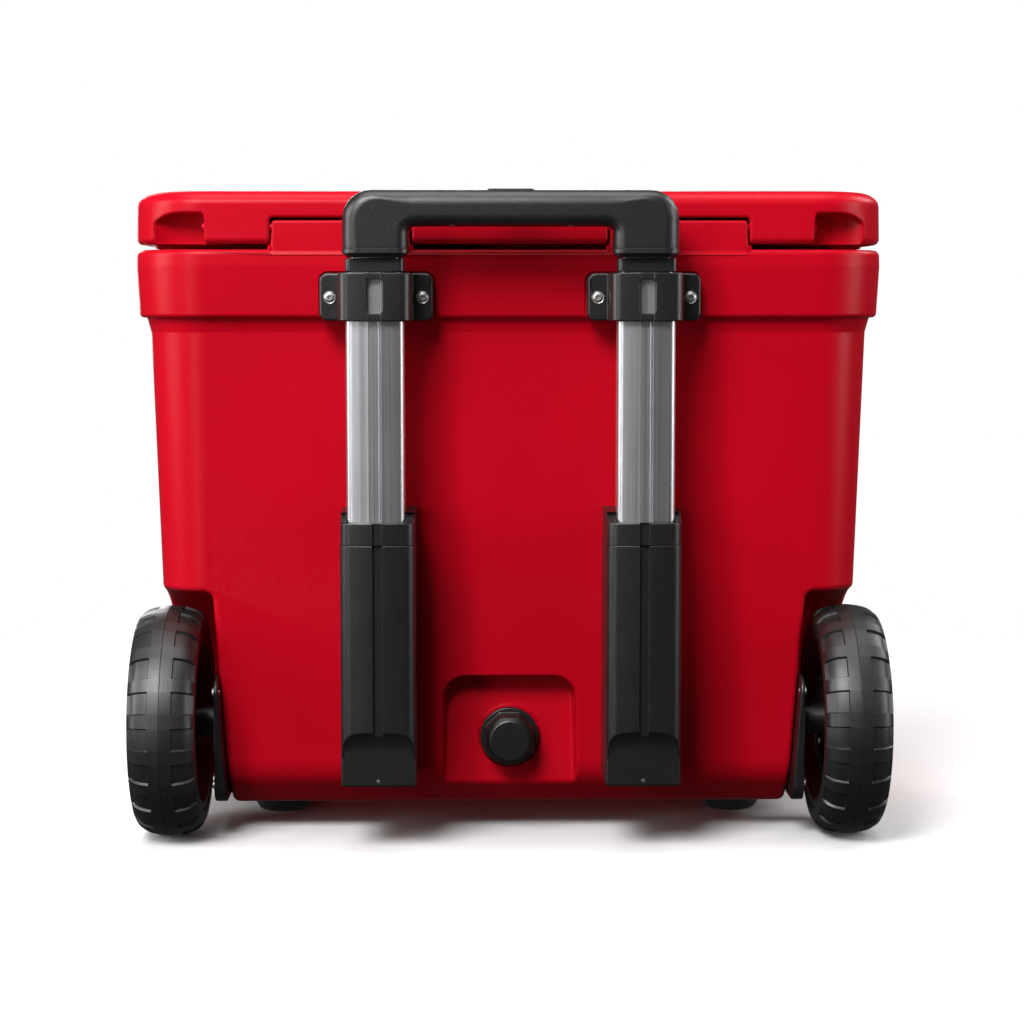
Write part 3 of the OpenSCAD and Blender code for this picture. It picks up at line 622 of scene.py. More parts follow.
def build_tub():
    hollow, seat, clear = drain_hollow()
    shell = combined(tub_block(), join=[hinge_block(s) for s in SIDES],
                     cut=[hollow] + [wheel_well(s) for s in SIDES] + [clamp_seat(s) for s in SIDES]
                     + [cold_block()])
    shell = combined(shell, join=[seat],
                     cut=[clear, rod("y", (0, 0, drain_z), -0.2, COLD_BACK + 0.010, DRAIN_HOLE_R)])
    shell = combined(shell, cut=[
        rod("x", (0, hinge_y, hinge_z), side * 0.07, side * 0.195, 0.00306) for side in SIDES])

    def inside(p):
        return (abs(p.x) < COLD_HALF + 0.002 and COLD_BACK - 0.002 < p.y < COLD_FRONT + 0.002
                and p.z > COLD_FLOOR - 0.01)

    def at_block(p):
        return p.z > rim_top - 0.006 and p.y < -0.158 and 0.07 < abs(p.x) < 0.19

    def at_seat(p):
        return p.z > rim_bottom - 0.02 and p.y < rim_back + 0.006 and abs(abs(p.x) - tube_x) < 0.06

    def drain_mouth(p):
        return Vector((p.x, p.z - drain_z)).length < 0.015 and p.y > COLD_BACK - 0.006

    def at_drain_seat(p):
        return Vector((p.x, p.z - drain_z)).length < 0.027

    def at_drain(p):
        return abs(p.x) < 0.062 and p.y < -0.12 and p.z < 0.14

    def at_well(p):
        return abs(p.x) > 0.2 and p.y < -0.045 and p.z < 0.21

    def pin_hole(p):
        return Vector((p.y - hinge_y, p.z - hinge_z)).length < 0.004
    shell = softened(shell, [
        (drain_mouth, 0.0), (pin_hole, 0.0004), (at_drain_seat, 0.0006), (at_block, 0.0022),
        (at_seat, 0.0005), (at_drain, 0.0022), (at_well, 0.0050), (inside, 0.0040)])
    shell = combined(shell, cut=[tub_foam_block()] + fill_holes("tub_fill_plugs"))
    piece("tub_skin", shell, "tub", RED, "tub_shell")
    piece("tub_foam_core", tub_foam_block(), "tub", FOAM, "tub_foam")


def fill_holes(node):
    """Cutters for the two round holes that a pair of fill plugs closes."""
    low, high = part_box(node)
    r = (high.y - low.y) / 2
    return [rod("z", (side * (high.x - r), (low.y + high.y) / 2, 0), low.z - 0.002, high.z, r)
            for side in SIDES]


# ---- lid

def lid_foam_block():
    """The foam inside the lid and its plug."""
    t = SKIN
    rings = [rim_ring(inset, z) for inset, z in (
        (t + 0.003, lid_edge + t), (t + 0.0005, lid_edge + t + 0.004), (t + 0.002, lid_top - 0.016),
        (0.016, lid_top - 0.0068), (0.034, lid_top - 0.0048), (0.070, lid_top - 0.0048))]
    half = COLD_HALF - PLUG_GAP - t
    plug = box(-half, half, COLD_BACK + PLUG_GAP + t, COLD_FRONT - PLUG_GAP - t, plug_bottom + t,
               lid_edge + 0.008)
    upright = [e for e in plug.edges if abs(e.verts[0].co.z - e.verts[1].co.z) > 0.01]
    bmesh.ops.bevel(plug, geom=upright, offset=0.026, segments=6, affect="EDGES", profile=0.5)
    cuts = [box(-0.248, 0.248, -FAR, hinge_y + 0.012, 0.4, lid_top - 0.0185)]
    for side in SIDES:
        cuts += [mirrored(box(0.0735, 0.1905, -FAR, -0.157 + t, UNDER_LID, block_top + 0.006), side),
                 mirrored(box(0.2340, 0.4, -FAR, -0.166 + t, UNDER_LID, 0.5020), side)]
    return combined(loft(rings), join=[plug], cut=cuts)


def build_lid():
    plug_in = COLD_HALF - PLUG_GAP

    def plug_ring(inset, z):
        return plan_ring(plug_in - inset, COLD_BACK + PLUG_GAP + inset,
                         COLD_FRONT - PLUG_GAP - inset, 0.029 - inset, z)
    rings = [plug_ring(inset, z) for inset, z in rounded(
        [(0.01, plug_bottom, 0), (0, plug_bottom, 0.004), (0, lid_edge, 0)])]
    edge_low = lid_top - 0.0118
    rings += [rim_ring(inset, z) for inset, z in rounded(
        [(0.040, lid_edge, 0), (0.034, lid_edge, 0), (0.033, lid_edge - 0.0028, 0.0008),
         (0.0155, lid_edge - 0.0028, 0.0008), (0.0145, lid_edge, 0), (0.0005, lid_edge, 0.0052),
         (0.0012, edge_low, 0)])]
    crown = [(0.0012 + 0.0175 * (1 - cos(t)) ** 0.9, edge_low + 0.0112 * sin(t) ** 0.85)
             for t in (radians(a) for a in (12, 24, 36, 48, 60, 72, 84))]
    crown += [(0.030, lid_top - 0.0003), (0.046, lid_top), (0.0475, lid_top - 0.0003),
              (0.0490, lid_top - 0.0014), (0.0505, lid_top - 0.0017), (0.0520, lid_top - 0.0014),
              (0.0535, lid_top - 0.0003), (0.0555, lid_top)]
    rings += [rim_ring(inset, z) for inset, z in crown]
    block = loft(rings)
    cuts = []
    for side in SIDES:
        low, high = BLOCK_IN - 0.0015, BLOCK_OUT + 0.0015
        cuts.append(mirrored(box(low, high, -FAR, -0.157, UNDER_LID, block_top + 0.0021), side))
        rings = []
        for x, front, top in ((0.2385, 0.1660, 0.4972), (0.2560, 0.1660, 0.4975),
                              (0.2650, 0.1668, 0.4966), (0.2720, 0.1688, 0.4945),
                              (0.2770, 0.1712, 0.4912), (0.2810, 0.1745, 0.4862),
                              (0.2840, 0.1785, 0.4790), (0.2860, 0.1830, 0.4730)):
            corners = ((-FAR, UNDER_LID), (-front, UNDER_LID), (-front, top), (-FAR, top))
            rings.append([Vector((x, y, z)) for y, z in corners])
        cuts.append(mirrored(loft(rings), side))
    lugs = []
    latch_low, latch_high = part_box("latch_pins")
    pin_y, pin_z = (latch_low.y + latch_high.y) / 2, (latch_low.z + latch_high.z) / 2
    for side in SIDES:
        for start in (LATCH_X - LATCH_HALF - LUG_R, LATCH_X + LATCH_HALF + 0.0005):
            outline = ([(0.208, pin_z - LUG_R), (pin_y, pin_z - LUG_R)]
                       + arc((pin_y, pin_z), LUG_R, -80, 80)
                       + [(pin_y, pin_z + LUG_R), (0.208, pin_z + LUG_R)])
            lugs.append(mirrored(swept(outline, "x", start, start + 0.0065), side))
    cuts.append(box(-0.279, 0.279, -FAR, -0.150, UNDER_LID, lid_edge + 0.0002))
    shell = combined(block, join=lugs, cut=cuts)

    def at_lug(p):
        return p.y > 0.2 and abs(p.z - pin_z) < 0.012

    def cut_edge(p):
        return p.y < -0.15 and p.z < lid_top - 0.004

    def bead_end(p):
        return p.y < -0.14 and abs(p.x) > 0.245 and p.z < lid_edge + 0.0008
    shell = softened(shell, [(bead_end, 0.0), (at_lug, 0.0010), (cut_edge, 0.0024)])
    pins = [rod("x", (0, hinge_y, hinge_z), side * 0.058, side * 0.2399, 0.003) for side in SIDES]
    pins += [rod("x", (0, pin_y, pin_z), side * 0.12, side * 0.22, 0.003) for side in SIDES]
    shell = combined(shell, cut=[lid_foam_block()] + fill_holes("lid_fill_plugs") + pins)
    piece("lid_skin", shell, "lid", RED, "lid_shell")
    piece("lid_foam_core", lid_foam_block(), "lid", FOAM, "lid_foam")


# ---- screws and small hardware

def screw_head(axis, centre, base, out, radius, height):
    """A low round-headed screw with a ring round its head and a six-sided socket."""
    outline = [(-0.004, 0), (-0.004, 0.5), (0, 0.5), (0, 1), (0.32, 1), (0.50, 0.93), (0.42, 0.84),
               (0.62, 0.79), (0.88, 0.63), (1, 0.46), (1, 0)]
    line = [(base + out * (a if a < 0 else a * height), r * radius) for a, r in outline]
    deep, proud = base + out * height * 0.40, base + out * (height + 0.001)
    socket = rod(axis, centre, deep, proud, 0.33 * radius, 6)
    return combined(turned(line, axis, centre, 40), cut=[socket])


def both(make):
    """Right and left copies of a solid in one mesh; make returns the right one."""
    return joined([mirrored(make(), side) for side in (RIGHT, LEFT)])


def build_screws():
    low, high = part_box("clamp_screws")
    z = (low.z + high.z) / 2
    reach = high.x - tube_x - CLAMP_SCREW_R
    piece("clamp_screws_shown", both(lambda: joined([
        screw_head("y", (tube_x + x, 0, z), EAR_BACK, -1, CLAMP_SCREW_R, 0.0024)
        for x in (-reach, reach)])), "tub", STEEL, "clamp_screws")
    low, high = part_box("boot_screws")
    z = (low.z + high.z) / 2
    piece("boot_screws_shown",
          both(lambda: screw_head("y", (BOOT_MID, 0, z), low.y + 0.0007, -1, 0.0020, 0.0006)),
          "tub", STEEL, "boot_screws")
    low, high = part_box("bracket_screws")
    face = high.x - 0.0022
    piece("bracket_screws_shown", both(lambda: joined([
        screw_head("x", (0, y, z), face, 1, 0.0045, 0.0022)
        for y in (low.y + 0.0045, high.y - 0.0045) for z in (low.z + 0.0045, high.z - 0.0045)])),
        "tub", STEEL, "bracket_screws")


def build_spring():
    """The button's coil spring."""
    low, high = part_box("button_spring")
    turns, wire, coil = 3.5, 0.00035, 0.0034
    rings = []
    for i in range(int(turns * 24) + 1):
        t = 2 * pi * i / 24
        out = Vector((cos(t), sin(t), 0))
        height = low.z + wire + (high.z - low.z - 2 * wire) * i / (turns * 24)
        middle = Vector((0, tube_y, height)) + out * coil
        rings.append([middle + out * wire * cos(a) + Vector((0, 0, wire * sin(a)))
                      for a in (2 * pi * k / 8 for k in range(8))])
    spring = piece("button_spring_coil", loft(rings), "inner_stage", STEEL, "button_spring",
                   smooth=60)
    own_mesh(spring)


# ---- handle

def build_clamp(name, side):
    bulge = 0.0278
    x0, x1 = clamp_low.x, clamp_high.x
    z0, z1 = clamp_low.z, clamp_high.z
    ears = swept(round_box(x0, x1, z0, z1, 0.006), "y", EAR_BACK, rim_back + 0.003)
    shape = bowed(tube_x - bulge, tube_x + bulge, clamp_low.y, 0.0085, 0.0007) + [
        (tube_x + bulge, EAR_BACK + 0.006), (tube_x - bulge, EAR_BACK + 0.006)]
    body = swept(shape, "z", z0, z1)
    window = swept(round_box(tube_x - 0.0062, tube_x + 0.0062, z1 - 0.031, z1 - 0.005, 0.003, 5),
                   "y", clamp_low.y - 0.002, tube_y)
    channel = box(tube_x - 0.0055, tube_x + 0.0055, clamp_low.y - 0.01, clamp_low.y + 0.0009, z0 - 0.01,
                  z1 + 0.01)
    low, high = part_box("clamp_screws")
    reach = high.x - tube_x - CLAMP_SCREW_R
    holes = [rod("y", (tube_x + x, 0, (low.z + high.z) / 2), EAR_BACK - 0.01, -0.1, 0.0026, 24)
             for x in (-reach, reach)]
    bm = combined(ears, join=[body], cut=[window, tube_space(z0 - 0.01, z1 + 0.01), channel] + holes)

    def in_hole(p):
        return tube_y - 0.013 < p.y < tube_y + 0.013 and abs(p.x - tube_x) < 0.0232

    def in_window(p):
        return abs(p.x - tube_x) < 0.0075 and p.y < tube_y

    def at_screw(p):
        return min(Vector((p.x - tube_x - x, p.z - (low.z + high.z) / 2)).length
                   for x in (-reach, reach)) < 0.003

    def at_ear(p):
        return p.y < EAR_BACK + 0.001 and abs(p.x - tube_x) > bulge + 0.0025
    bm = softened(bm, [(at_screw, 0.0002), (in_hole, 0.0003), (in_window, 0.0007), (at_ear, 0.0019),
                       (lambda p: p.y < EAR_BACK + 0.002, 0.0013)])
    piece(name + "_shown", mirrored(bm, side), "tub", BLACK, name)


def bowed(x0, x1, y, r, bow, steps=10):
    """A back face from x0 to x1 with round corners, bowed out a little in the middle."""
    middle, half = (x0 + x1) / 2, (x1 - x0) / 2 - r
    face = [(middle + half * k / steps, y + bow * (k / steps) ** 2) for k in range(-steps + 1, steps)]
    return (arc((x0 + r, y + bow + r), r, 180, 268) + face
            + arc((x1 - r, y + bow + r), r, 272, 360))


def build_tube(name, side, body, wall, sink, r):
    """A rectangular tube with a shallow groove and one fine ridge down its back."""
    low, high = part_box(name)
    half_w, half_d = (high.x - low.x) / 2, (high.y - low.y) / 2
    x0, x1, y0, y1 = tube_x - half_w, tube_x + half_w, tube_y - half_d, tube_y + half_d
    groove = [(-0.0051, 0), (-0.0047, 1), (0.0026, 1), (0.0030, 0.30), (0.0038, 0.25), (0.0042, 1),
              (0.0047, 1), (0.0051, 0)]
    if side == LEFT:
        groove = [(-a, d) for a, d in reversed(groove)]
    face = [p for p in bowed(x0, x1, y0, r, 0.0014) if abs(p[0] - tube_x) > 0.0052]
    face = ([p for p in face if p[0] < tube_x] + [(tube_x + a, y0 + d * sink) for a, d in groove]
            + [p for p in face if p[0] > tube_x])
    outer = arc((x1 - r, y1 - r), r, 0, 90, 5) + arc((x0 + r, y1 - r), r, 90, 180, 5) + face
    inner = round_box(x0 + wall, x1 - wall, y0 + wall, y1 - wall, r - wall, 4)
    bm = combined(swept(outer, "z", low.z, high.z), cut=[swept(inner, "z", low.z - 0.01, high.z + 0.01)])
    piece(name + "_shown", mirrored(bm, side), body, ALUMINIUM, name, smooth=30)


def boot_outline(grow):
    """A boot seen from above: flat to the wall, with a rounded face."""
    left, right = BOOT_MID - BOOT_HALF - grow, BOOT_MID + BOOT_HALF + grow
    return bowed(left, right, boot_low.y - grow, 0.009, 0.0013) + [(right, -0.150), (left, -0.150)]


def behind_wall(z0, z1):
    """The tub behind a boot, whose wall leans."""
    return swept([(wall_at(z0), z0), (0.3, z0), (0.3, z1), (wall_at(z1), z1)], "x", 0, 0.3)


def tube_space(z0, z1):
    return box(tube_x - 0.0226, tube_x + 0.0226, tube_y - 0.0121, tube_y + 0.0121, z0, z1)


def build_boot(name, side):
    back, z0, z1 = boot_low.y, boot_low.z, boot_high.z
    groove = swept(round_box(BOOT_MID - GROOVE_HALF, BOOT_MID + GROOVE_HALF, 0.0925, 0.30, 0.0036, 6),
                   "y", -0.3, back + 0.0031)
    rings = []
    for deep, half, top, r in ((-0.004, 0.0345, 0.1010, 0.0185), (0, 0.0332, 0.0976, 0.0175),
                               (0.0030, 0.0322, 0.0945, 0.0168), (0.0055, 0.0313, 0.0900, 0.0160),
                               (0.0072, 0.0305, 0.0830, 0.0150)):
        outline = round_box(BOOT_MID - half, BOOT_MID + half, 0.02, top, r)
        rings.append([Vector((x, back + deep, z)) for x, z in outline])
    scoop = loft(rings)
    bm = combined(swept(boot_outline(0), "z", z0, z1),
                  cut=[behind_wall(0, 0.3), tube_space(tube_low.z, z1 + 0.01), groove, scoop])

    def in_groove(p):
        return p.z > 0.091 and abs(p.x - BOOT_MID) < 0.005 and p.y < back + 0.0045

    def in_scoop(p):
        return z0 + 0.002 < p.z < 0.1 and p.y < back + 0.0085
    bm = softened(bm, [(in_groove, 0.0007), (in_scoop, 0.0010),
                       (lambda p: p.z < z0 + 0.002 and p.y < -0.21, 0.0020),
                       (lambda p: p.z > z1 - 0.001 and p.y < -0.205, 0.0006)])
    piece(name + "_shown", mirrored(bm, side), "tub", BLACK, name)


def build_boot_collar(name, side):
    z0, z1 = collar_low.z, collar_high.z
    back = collar_low.y
    slope = swept([(-FAR, z1 - 0.0072), (tube_low.y, z1 - 0.0072), (tube_y, z1 - 0.0003),
                   (-FAR, z1 + 0.01)], "x", 0, 0.3)
    groove = box(BOOT_MID - GROOVE_HALF, BOOT_MID + GROOVE_HALF, -FAR, back + 0.0028, z0 - 0.01,
                 z1 + 0.01)
    bm = combined(swept(boot_outline(-0.0003), "z", z0, z1),
                  cut=[behind_wall(0, 0.3), tube_space(z0 - 0.01, z1 + 0.01), slope, groove])

    def in_groove(p):
        return abs(p.x - BOOT_MID) < 0.005 and p.y < back + 0.0045
    bm = softened(bm, [(in_groove, 0.0004), (lambda p: p.z > z0 + 0.002 and p.y < -0.205, 0.0012),
                       (lambda p: p.z < z0 + 0.002 and p.y < -0.205, 0.0006)])
    piece(name + "_shown", mirrored(bm, side), "tub", BLACK, name)


def build_middle_collar(name, side):
    low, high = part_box("right_middle_collar")
    inner_low, inner_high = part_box("right_inner_tube")
    gap = 0.0004
    bm = combined(
        swept(round_box(low.x, high.x, low.y, high.y, 0.004, 6), "z", low.z, high.z),
        cut=[box(inner_low.x - gap, inner_high.x + gap, inner_low.y - gap, inner_high.y + gap, 0.4, 0.5)])
    bm = softened(bm, [(lambda p: abs(p.y - tube_y) < 0.009 and abs(p.x - tube_x) < 0.0195, 0.0003),
                       (lambda p: True, 0.0010)])
    piece(name + "_shown", mirrored(bm, side), "middle_stage", BLACK, name)


def grip_ring(inner, outer, grow=0.0):
    """One rounded section of the grip, between two points given as (x, z)."""
    inner, outer = Vector(inner), Vector(outer)
    way = (outer - inner).normalized()
    middle = (inner + outer) / 2
    a, b = (outer - inner).length / 2 + grow, GRIP_HALF_DEPTH + grow
    soft, tight = 0.0118, 0.0088
    outline = (arc((a - soft, b - soft), soft, 0, 90, 6) + arc((-a + tight, b - tight), tight, 90, 180, 6)
               + arc((-a + tight, -b + tight), tight, 180, 270, 6)
               + arc((a - soft, -b + soft), soft, 270, 360, 6))
    y = (grip_low.y + grip_high.y) / 2
    return [Vector((middle.x + way.x * u, y + v, middle.y + way.y * u)) for u, v in outline]


def build_grip():
    x_in, x_out, corner, fillet = 0.0783, 0.1284, 0.022, 0.005
    bar_low, top, leg_low = grip_high.z - 0.0288, grip_high.z - 0.0012, grip_low.z
    pivot = Vector((x_in - fillet, bar_low - fillet))
    rings = []
    for z, grow in ((leg_low, -0.0034), (leg_low + 0.0028, -0.0006), (leg_low + 0.0032, 0.0005),
                    (leg_low + 0.0061, 0.0005), (leg_low + 0.0066, -0.0002), (leg_low + 0.0100, 0.0)):
        rings.append(grip_ring((x_in, z), (x_out, z), grow))
    for step in range(19):
        turn = radians(5 * step)
        way = Vector((cos(turn), sin(turn)))
        reach = min(((x_out - pivot.x) / way.x if way.x > 1e-6 else 9),
                    ((top - pivot.y) / way.y if way.y > 1e-6 else 9))
        hit = pivot + way * reach
        middle = Vector((x_out - corner, top - corner))
        if hit.x > middle.x and hit.y > middle.y:
            off = pivot - middle
            along = way.dot(off)
            hit = pivot + way * (-along + sqrt(along * along - off.length_squared + corner * corner))
        rings.append(grip_ring(pivot + way * fillet, hit))
    others = [[Vector((-p.x, p.y, p.z)) for p in ring] for ring in reversed(rings)]
    cuts = []
    for side in SIDES:
        slot = round_box(tube_x - 0.0184, tube_x + 0.0184, tube_y - 0.0079, tube_y + 0.0079, 0.003, 3)
        cuts += [mirrored(swept(slot, "z", 0.45, 0.4861), side),
                 rod("z", (side * tube_x, tube_y, 0), 0.48, 0.492, 0.0042, 24),
                 rod("z", (side * GRIP_SCREW_X, GRIP_SCREW_Y, 0), 0.48, 0.4968, 0.0016, 16)]
    plate_low, plate_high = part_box("grip_underplate")
    gap = 0.0001
    opening = round_box(-0.0190, 0.0190, tube_y - 0.0085, tube_y + 0.0085, 0.0035, 5)
    cuts += [box(-0.1100, 0.1100, tube_y - 0.0047, tube_y + 0.0047, 0.4885, 0.502),
             swept(opening, "z", 0.4955, 0.53),
             box(plate_low.x - gap, plate_high.x + gap, plate_low.y - gap, plate_high.y + gap, 0.47,
                 plate_high.z + gap),
             rod("z", (0, tube_y, 0), 0.48, 0.4945, 0.0046, 24)]
    bm = combined(loft(rings + others), cut=cuts)

    def at_button(p):
        return p.z > top - 0.004 and abs(p.x) < 0.02

    def at_plate(p):
        return abs(p.z - bar_low) < 0.002 and abs(p.x) < 0.0715
    bm = softened(bm, [(at_button, 0.0008), (at_plate, 0.0003)])
    piece("grip_shown", bm, "inner_stage", GRIP, "grip", smooth=34)


def build_handle():
    for side, word in WORDS:
        build_clamp(word + "_clamp", side)
        build_tube_pair(word, side)
        build_boot(word + "_boot", side)
        build_boot_collar(word + "_boot_collar", side)
        build_middle_collar(word + "_middle_collar", side)
    build_grip()
    low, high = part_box("release_button")
    dish = rod("x", (0, (low.y + high.y) / 2, high.z + 0.0282), -0.012, 0.012, 0.0296, 128)
    above = box(-0.05, 0.05, -FAR, 0.1, high.z - 0.0009, 0.6)
    plate_low, plate_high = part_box("grip_underplate")
    flat = (plate_high.y - plate_low.y) / 2 - 0.0040
    middle = (plate_low.y + plate_high.y) / 2
    outline = [(plate_low.y, plate_high.z), (plate_low.y, plate_low.z + 0.0009),
               (middle - flat, plate_low.z + 0.0001), (middle + flat, plate_low.z + 0.0001),
               (plate_high.y, plate_low.z + 0.0009), (plate_high.y, plate_high.z)]
    plate = combined(swept(outline, "x", plate_low.x, plate_high.x), cut=[
        rod("z", (side * GRIP_SCREW_X, GRIP_SCREW_Y, 0), 0.48, 0.49, 0.0029, 32) for side in SIDES])
    piece("grip_plate_shown", softened(plate, 0.0003), "inner_stage", GRIP,
          "grip_underplate")
    reworked("release_button", "release", GRIP, 0.0009, cut=[above, dish])
    build_spring()


def build_tube_pair(word, side):
    """The outer, middle and inner tubes on one side."""
    for stage, body, wall, sink, r in (("outer", "tub", 0.0018, 0.0009, 0.0055),
                                       ("middle", "middle_stage", 0.0016, 0.0006, 0.0045),
                                       ("inner", "inner_stage", 0.0016, 0.0006, 0.0030)):
        build_tube(word + "_" + stage + "_tube", side, body, wall, sink, r)


# ---- wheels

def tyre_solid():
    """A tyre with two rows of shallow pockets that run out over its shoulders."""
    half = [(1.0, 72.0), (0.3, 73.2), (0.0, 75.5), (0.1, 78.5), (0.7, 81.3), (1.9, 83.9), (3.6, 86.1),
            (5.8, 87.9), (8.4, 89.3), (11.5, 90.4), (14.5, 91.1), (16.5, 91.5), (17.4, 91.6),
            (18.2, 91.7), (21.5, 92.15), (25.8, 92.45), (26.15, 92.45)]
    width = (wheel_high.x - wheel_low.x) * 1000
    profile = half + [(width / 2, 92.1)] + [(width - u, r) for u, r in reversed(half)]
    pitch, reach, wall, depth = 360 / TREAD_BLOCKS, 5.7, 0.62, 1.8
    angles = set()
    for k in range(TREAD_BLOCKS):
        angles.update(round((k * pitch + a) % 360, 3)
                      for a in (-reach, -reach + wall, -reach / 2, 0, reach / 2, reach - wall, reach))
    angles = sorted(angles)
    bm = bmesh.new()
    rows = []
    for i, (u, r) in enumerate(profile):
        before, after = Vector(profile[max(0, i - 1)]), Vector(profile[min(len(profile) - 1, i + 1)])
        along = (after - before).normalized()
        outward = Vector((-along.y, along.x))
        edge = min(u, width - u)
        across = min(1, max(0, (17.4 - edge) / 0.9)) * (1 if r > 83.5 else 0)
        made = []
        for angle in angles:
            off = abs((angle + pitch / 2) % pitch - pitch / 2)
            sunk = depth * across * min(1, max(0, (reach - off) / wall))
            place = Vector((u, r)) - outward * sunk
            t = radians(angle)
            made.append(bm.verts.new((wheel_low.x + place.x / 1000, axle_y + place.y / 1000 * cos(t),
                                      axle_z + place.y / 1000 * sin(t))))
        rows.append(made)
    bridge(bm, rows, rows[1:] + rows[:1])
    bmesh.ops.recalc_face_normals(bm, faces=bm.faces)
    return bm


def core_solid():
    """A wheel's moulded centre: a rim, a hub and six ribbed spokes."""
    centre = (wheel_low.x, axle_y, axle_z)
    rim = turned([(0.001, 0.072), (0.001, 0.0655), (0.008, 0.0632), (0.0115, 0.0605), (0.0415, 0.0605),
                  (0.045, 0.0632), (0.052, 0.0655), (0.052, 0.072)], "x", centre, 96)
    hub = turned([(-0.009, 0.0085), (-0.009, 0.0125), (0.0135, 0.0125), (0.0135, 0.024), (0.0390, 0.024),
                  (0.0390, 0.0125), (0.0448, 0.0125), (0.0448, 0.0085)], "x", centre, 64)
    spokes, dents = [], []
    for i in range(6):
        turn = radians(60 * i + 30)

        def beam(points, start, end):
            """A bar along the spoke, from points along it and across it."""
            return swept([(axle_y + a * cos(turn) - b * sin(turn), axle_z + a * sin(turn) + b * cos(turn))
                          for a, b in points], "x", centre[0] + start, centre[0] + end)
        spokes.append(beam([(0.018, -0.0095), (0.062, -0.0068), (0.062, 0.0068), (0.018, 0.0095)],
                           0.012, 0.041))
        dents += [beam([(0.0275, -0.0056), (0.0560, -0.0038), (0.0560, 0.0038), (0.0275, 0.0056)],
                       start, end) for start, end in ((0.035, 0.06), (-0.01, 0.018))]
    return softened(combined(rim, join=[hub] + spokes, cut=dents), 0.0012, segments=2)


def cap_solid():
    line = [(0.0410, 0.0126), (0.0400, 0.0235), (0.0403, 0.0240), (0.0422, 0.0240), (0.0430, 0.0235),
            (0.0498, 0.0193), (0.0511, 0.0181), (0.0513, 0.0172), (0.0513, 0.0150), (0.0511, 0.0147),
            (0.0506, 0.0144), (0.0506, 0.0062), (0.0511, 0.0057), (0.0519, 0.0035), (0.0521, 0),
            (0.0500, 0), (0.0500, 0.0115), (0.0490, 0.0126)]
    return turned(line, "x", (wheel_low.x, axle_y, axle_z), 72)


def build_wheels():
    for side, word in WORDS:
        body = word + "_wheel"
        piece(word + "_tyre_shown", mirrored(tyre_solid(), side), body, TYRE,
              word + "_tyre", smooth=32)
        piece(word + "_core_shown", mirrored(core_solid(), side), body, BLACK,
              word + "_wheel_core")
        piece(word + "_cap_shown", mirrored(cap_solid(), side), body, BLACK,
              word + "_hub_cap")
        reworked(word + "_axle_bracket", "tub", BLACK, 0.0014)


# ---- feet, drain plug, latches and seal

def build_feet(node):
    low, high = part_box(node)
    r = (high.y - low.y) / 2
    line = [(0, 0), (0, 0.0065), (0.0010, 0.0072), (0.0010, 0.0098), (0, 0.0105), (0, 0.0195),
            (0.0006, 0.0207), (0.0036, 0.0225), (0.0050, 0.0233), (0.0062, r), (high.z, r), (high.z, 0)]
    piece(node + "_shown", both(lambda: turned(line, "z", (high.x - r, (low.y + high.y) / 2, 0), 64)),
          "tub", SEAL, node)


def build_small_parts():
    build_feet("front_feet")
    build_feet("rear_feet")
    reworked("drain_plug", "drain_plug", BLACK, 0.0011)
    reworked("lid_gasket", "lid", SEAL, 0.0009)
    reworked("latch_keepers", "tub", BLACK, 0.0007)
    for side, word in WORDS:
        low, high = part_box(word + "_latch")
        middle = (low.x + high.x) / 2
        panel = swept(round_box(middle - 0.024, middle + 0.024, 0.4640, 0.4900, 0.005), "y", 0.2366, 0.26)
        rib = swept(round_box(middle - 0.020, middle + 0.020, 0.4735, 0.4765, 0.0014), "y", 0.2350,
                    0.2378)
        bm = combined(combined(node_solid(word + "_latch"), cut=[panel]), join=[rib])
        bm = softened(bm, [(lambda p: Vector((p.y - 0.229, p.z - 0.5)).length < 0.0036, 0.0003),
                           (lambda p: 0.462 < p.z < 0.492 and p.y > 0.236, 0.0008),
                           (lambda p: True, 0.0014)])
        piece(word + "_latch_shown", bm, word + "_latch", BLACK, word + "_latch")


# ---- floor, light and camera

def area_light(name, place, aim, size, power):
    light = bpy.data.lights.new(name, "AREA")
    light.shape = "RECTANGLE"
    light.size, light.size_y = size
    light.energy = power
    lamp = placed(name, light)
    lamp.location = place
    lamp.rotation_euler = (Vector(aim) - Vector(place)).to_track_quat("-Z", "Y").to_euler()


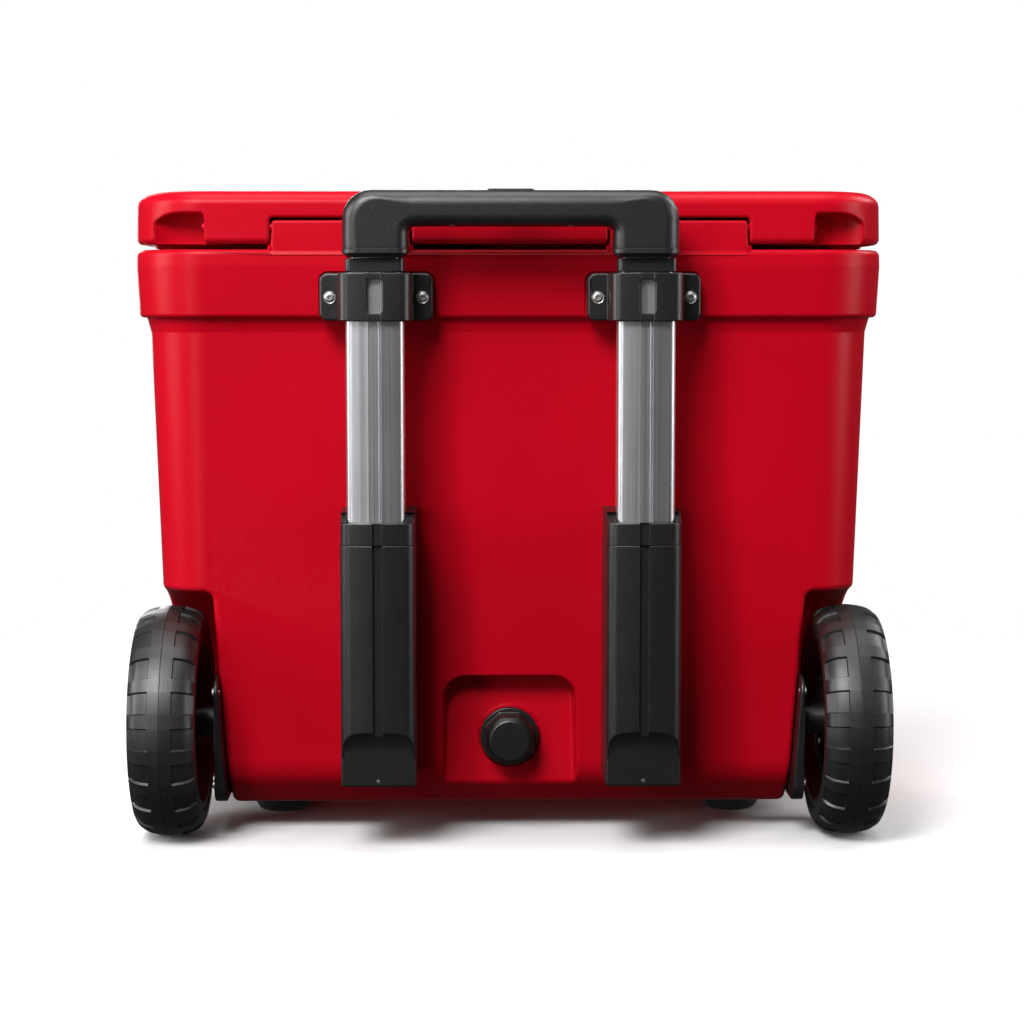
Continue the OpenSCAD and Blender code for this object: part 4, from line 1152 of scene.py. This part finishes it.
def build_stage():
    bm = bmesh.new()
    bmesh.ops.create_circle(bm, cap_ends=True, segments=96, radius=1.0)
    bmesh.ops.translate(bm, vec=(0, 0.2, 0), verts=bm.verts)
    floor = placed("floor", as_mesh("floor", bm))
    floor.data.materials.append(floor_paper())
    floor.visible_diffuse = False
    floor.visible_glossy = False

    world = bpy.data.worlds.new("studio")
    bpy.context.scene.world = world
    world.use_nodes = True
    tree = world.node_tree
    seen = tree.nodes["Background"]
    dim = tree.nodes.new("ShaderNodeBackground")
    for shader, strength in ((seen, 1.0), (dim, 0.06)):
        shader.inputs["Color"].default_value = (1, 1, 1, 1)
        shader.inputs["Strength"].default_value = strength
    path = tree.nodes.new("ShaderNodeLightPath")
    mix = tree.nodes.new("ShaderNodeMixShader")
    tree.links.new(path.outputs["Is Camera Ray"], mix.inputs[0])
    tree.links.new(dim.outputs[0], mix.inputs[1])
    tree.links.new(seen.outputs[0], mix.inputs[2])
    tree.links.new(mix.outputs[0], tree.nodes["World Output"].inputs["Surface"])

    middle = (0, 0, 0.25)
    area_light("key", (-1.05, -2.35, 2.5), middle, (1.4, 1.3), 119)
    area_light("strip", (-1.45, -2.3, 0.55), (0, -0.2, 0.3), (0.35, 1.5), 10)
    area_light("left_wall", (-2.4, -0.7, 1.0), middle, (1.0, 1.6), 38)
    area_light("right_wall", (2.4, -0.7, 0.9), middle, (0.9, 1.6), 25)
    area_light("top", (0, -0.1, 2.6), middle, (2.0, 1.6), 33)
    area_light("right_back", (2.2, 1.0, 2.0), (0.75, 0.3, 0.0), (1.2, 1.2), 30)
    area_light("behind", (-0.5, 2.6, 0.9), middle, (1.8, 1.2), 40)

    lens = bpy.data.cameras.new("camera")
    lens.lens, lens.sensor_width = 84, 36
    camera = placed("camera", lens)
    camera.location = (-0.030, -2.065, 0.430)
    camera.rotation_euler = (radians(90 - 5.07), 0, -radians(0.965))
    bpy.context.scene.camera = camera
    bpy.context.scene.view_settings.view_transform = "Standard"


build_stage()
build_tub()
build_lid()
build_handle()
build_wheels()
build_screws()
build_small_parts()

for paint, nodes in (
        (BLACK, ("tub_fill_plugs", "drain_liner", "lid_fill_plugs", "middle_end_plugs",
                 "inner_lock_blocks")),
        (RED, ("hinge_pins",)), (GRIP, ("release_yoke",)), (SEAL, ("drain_seal",)),
        (BUSH, ("left_wheel_bush", "right_wheel_bush")),
        (STEEL, ("latch_pins", "keeper_screws", "grip_screws", "release_rods", "left_axle",
                 "right_axle", "left_axle_nut", "right_axle_nut"))):
    for node in nodes:
        kept(node, paint)
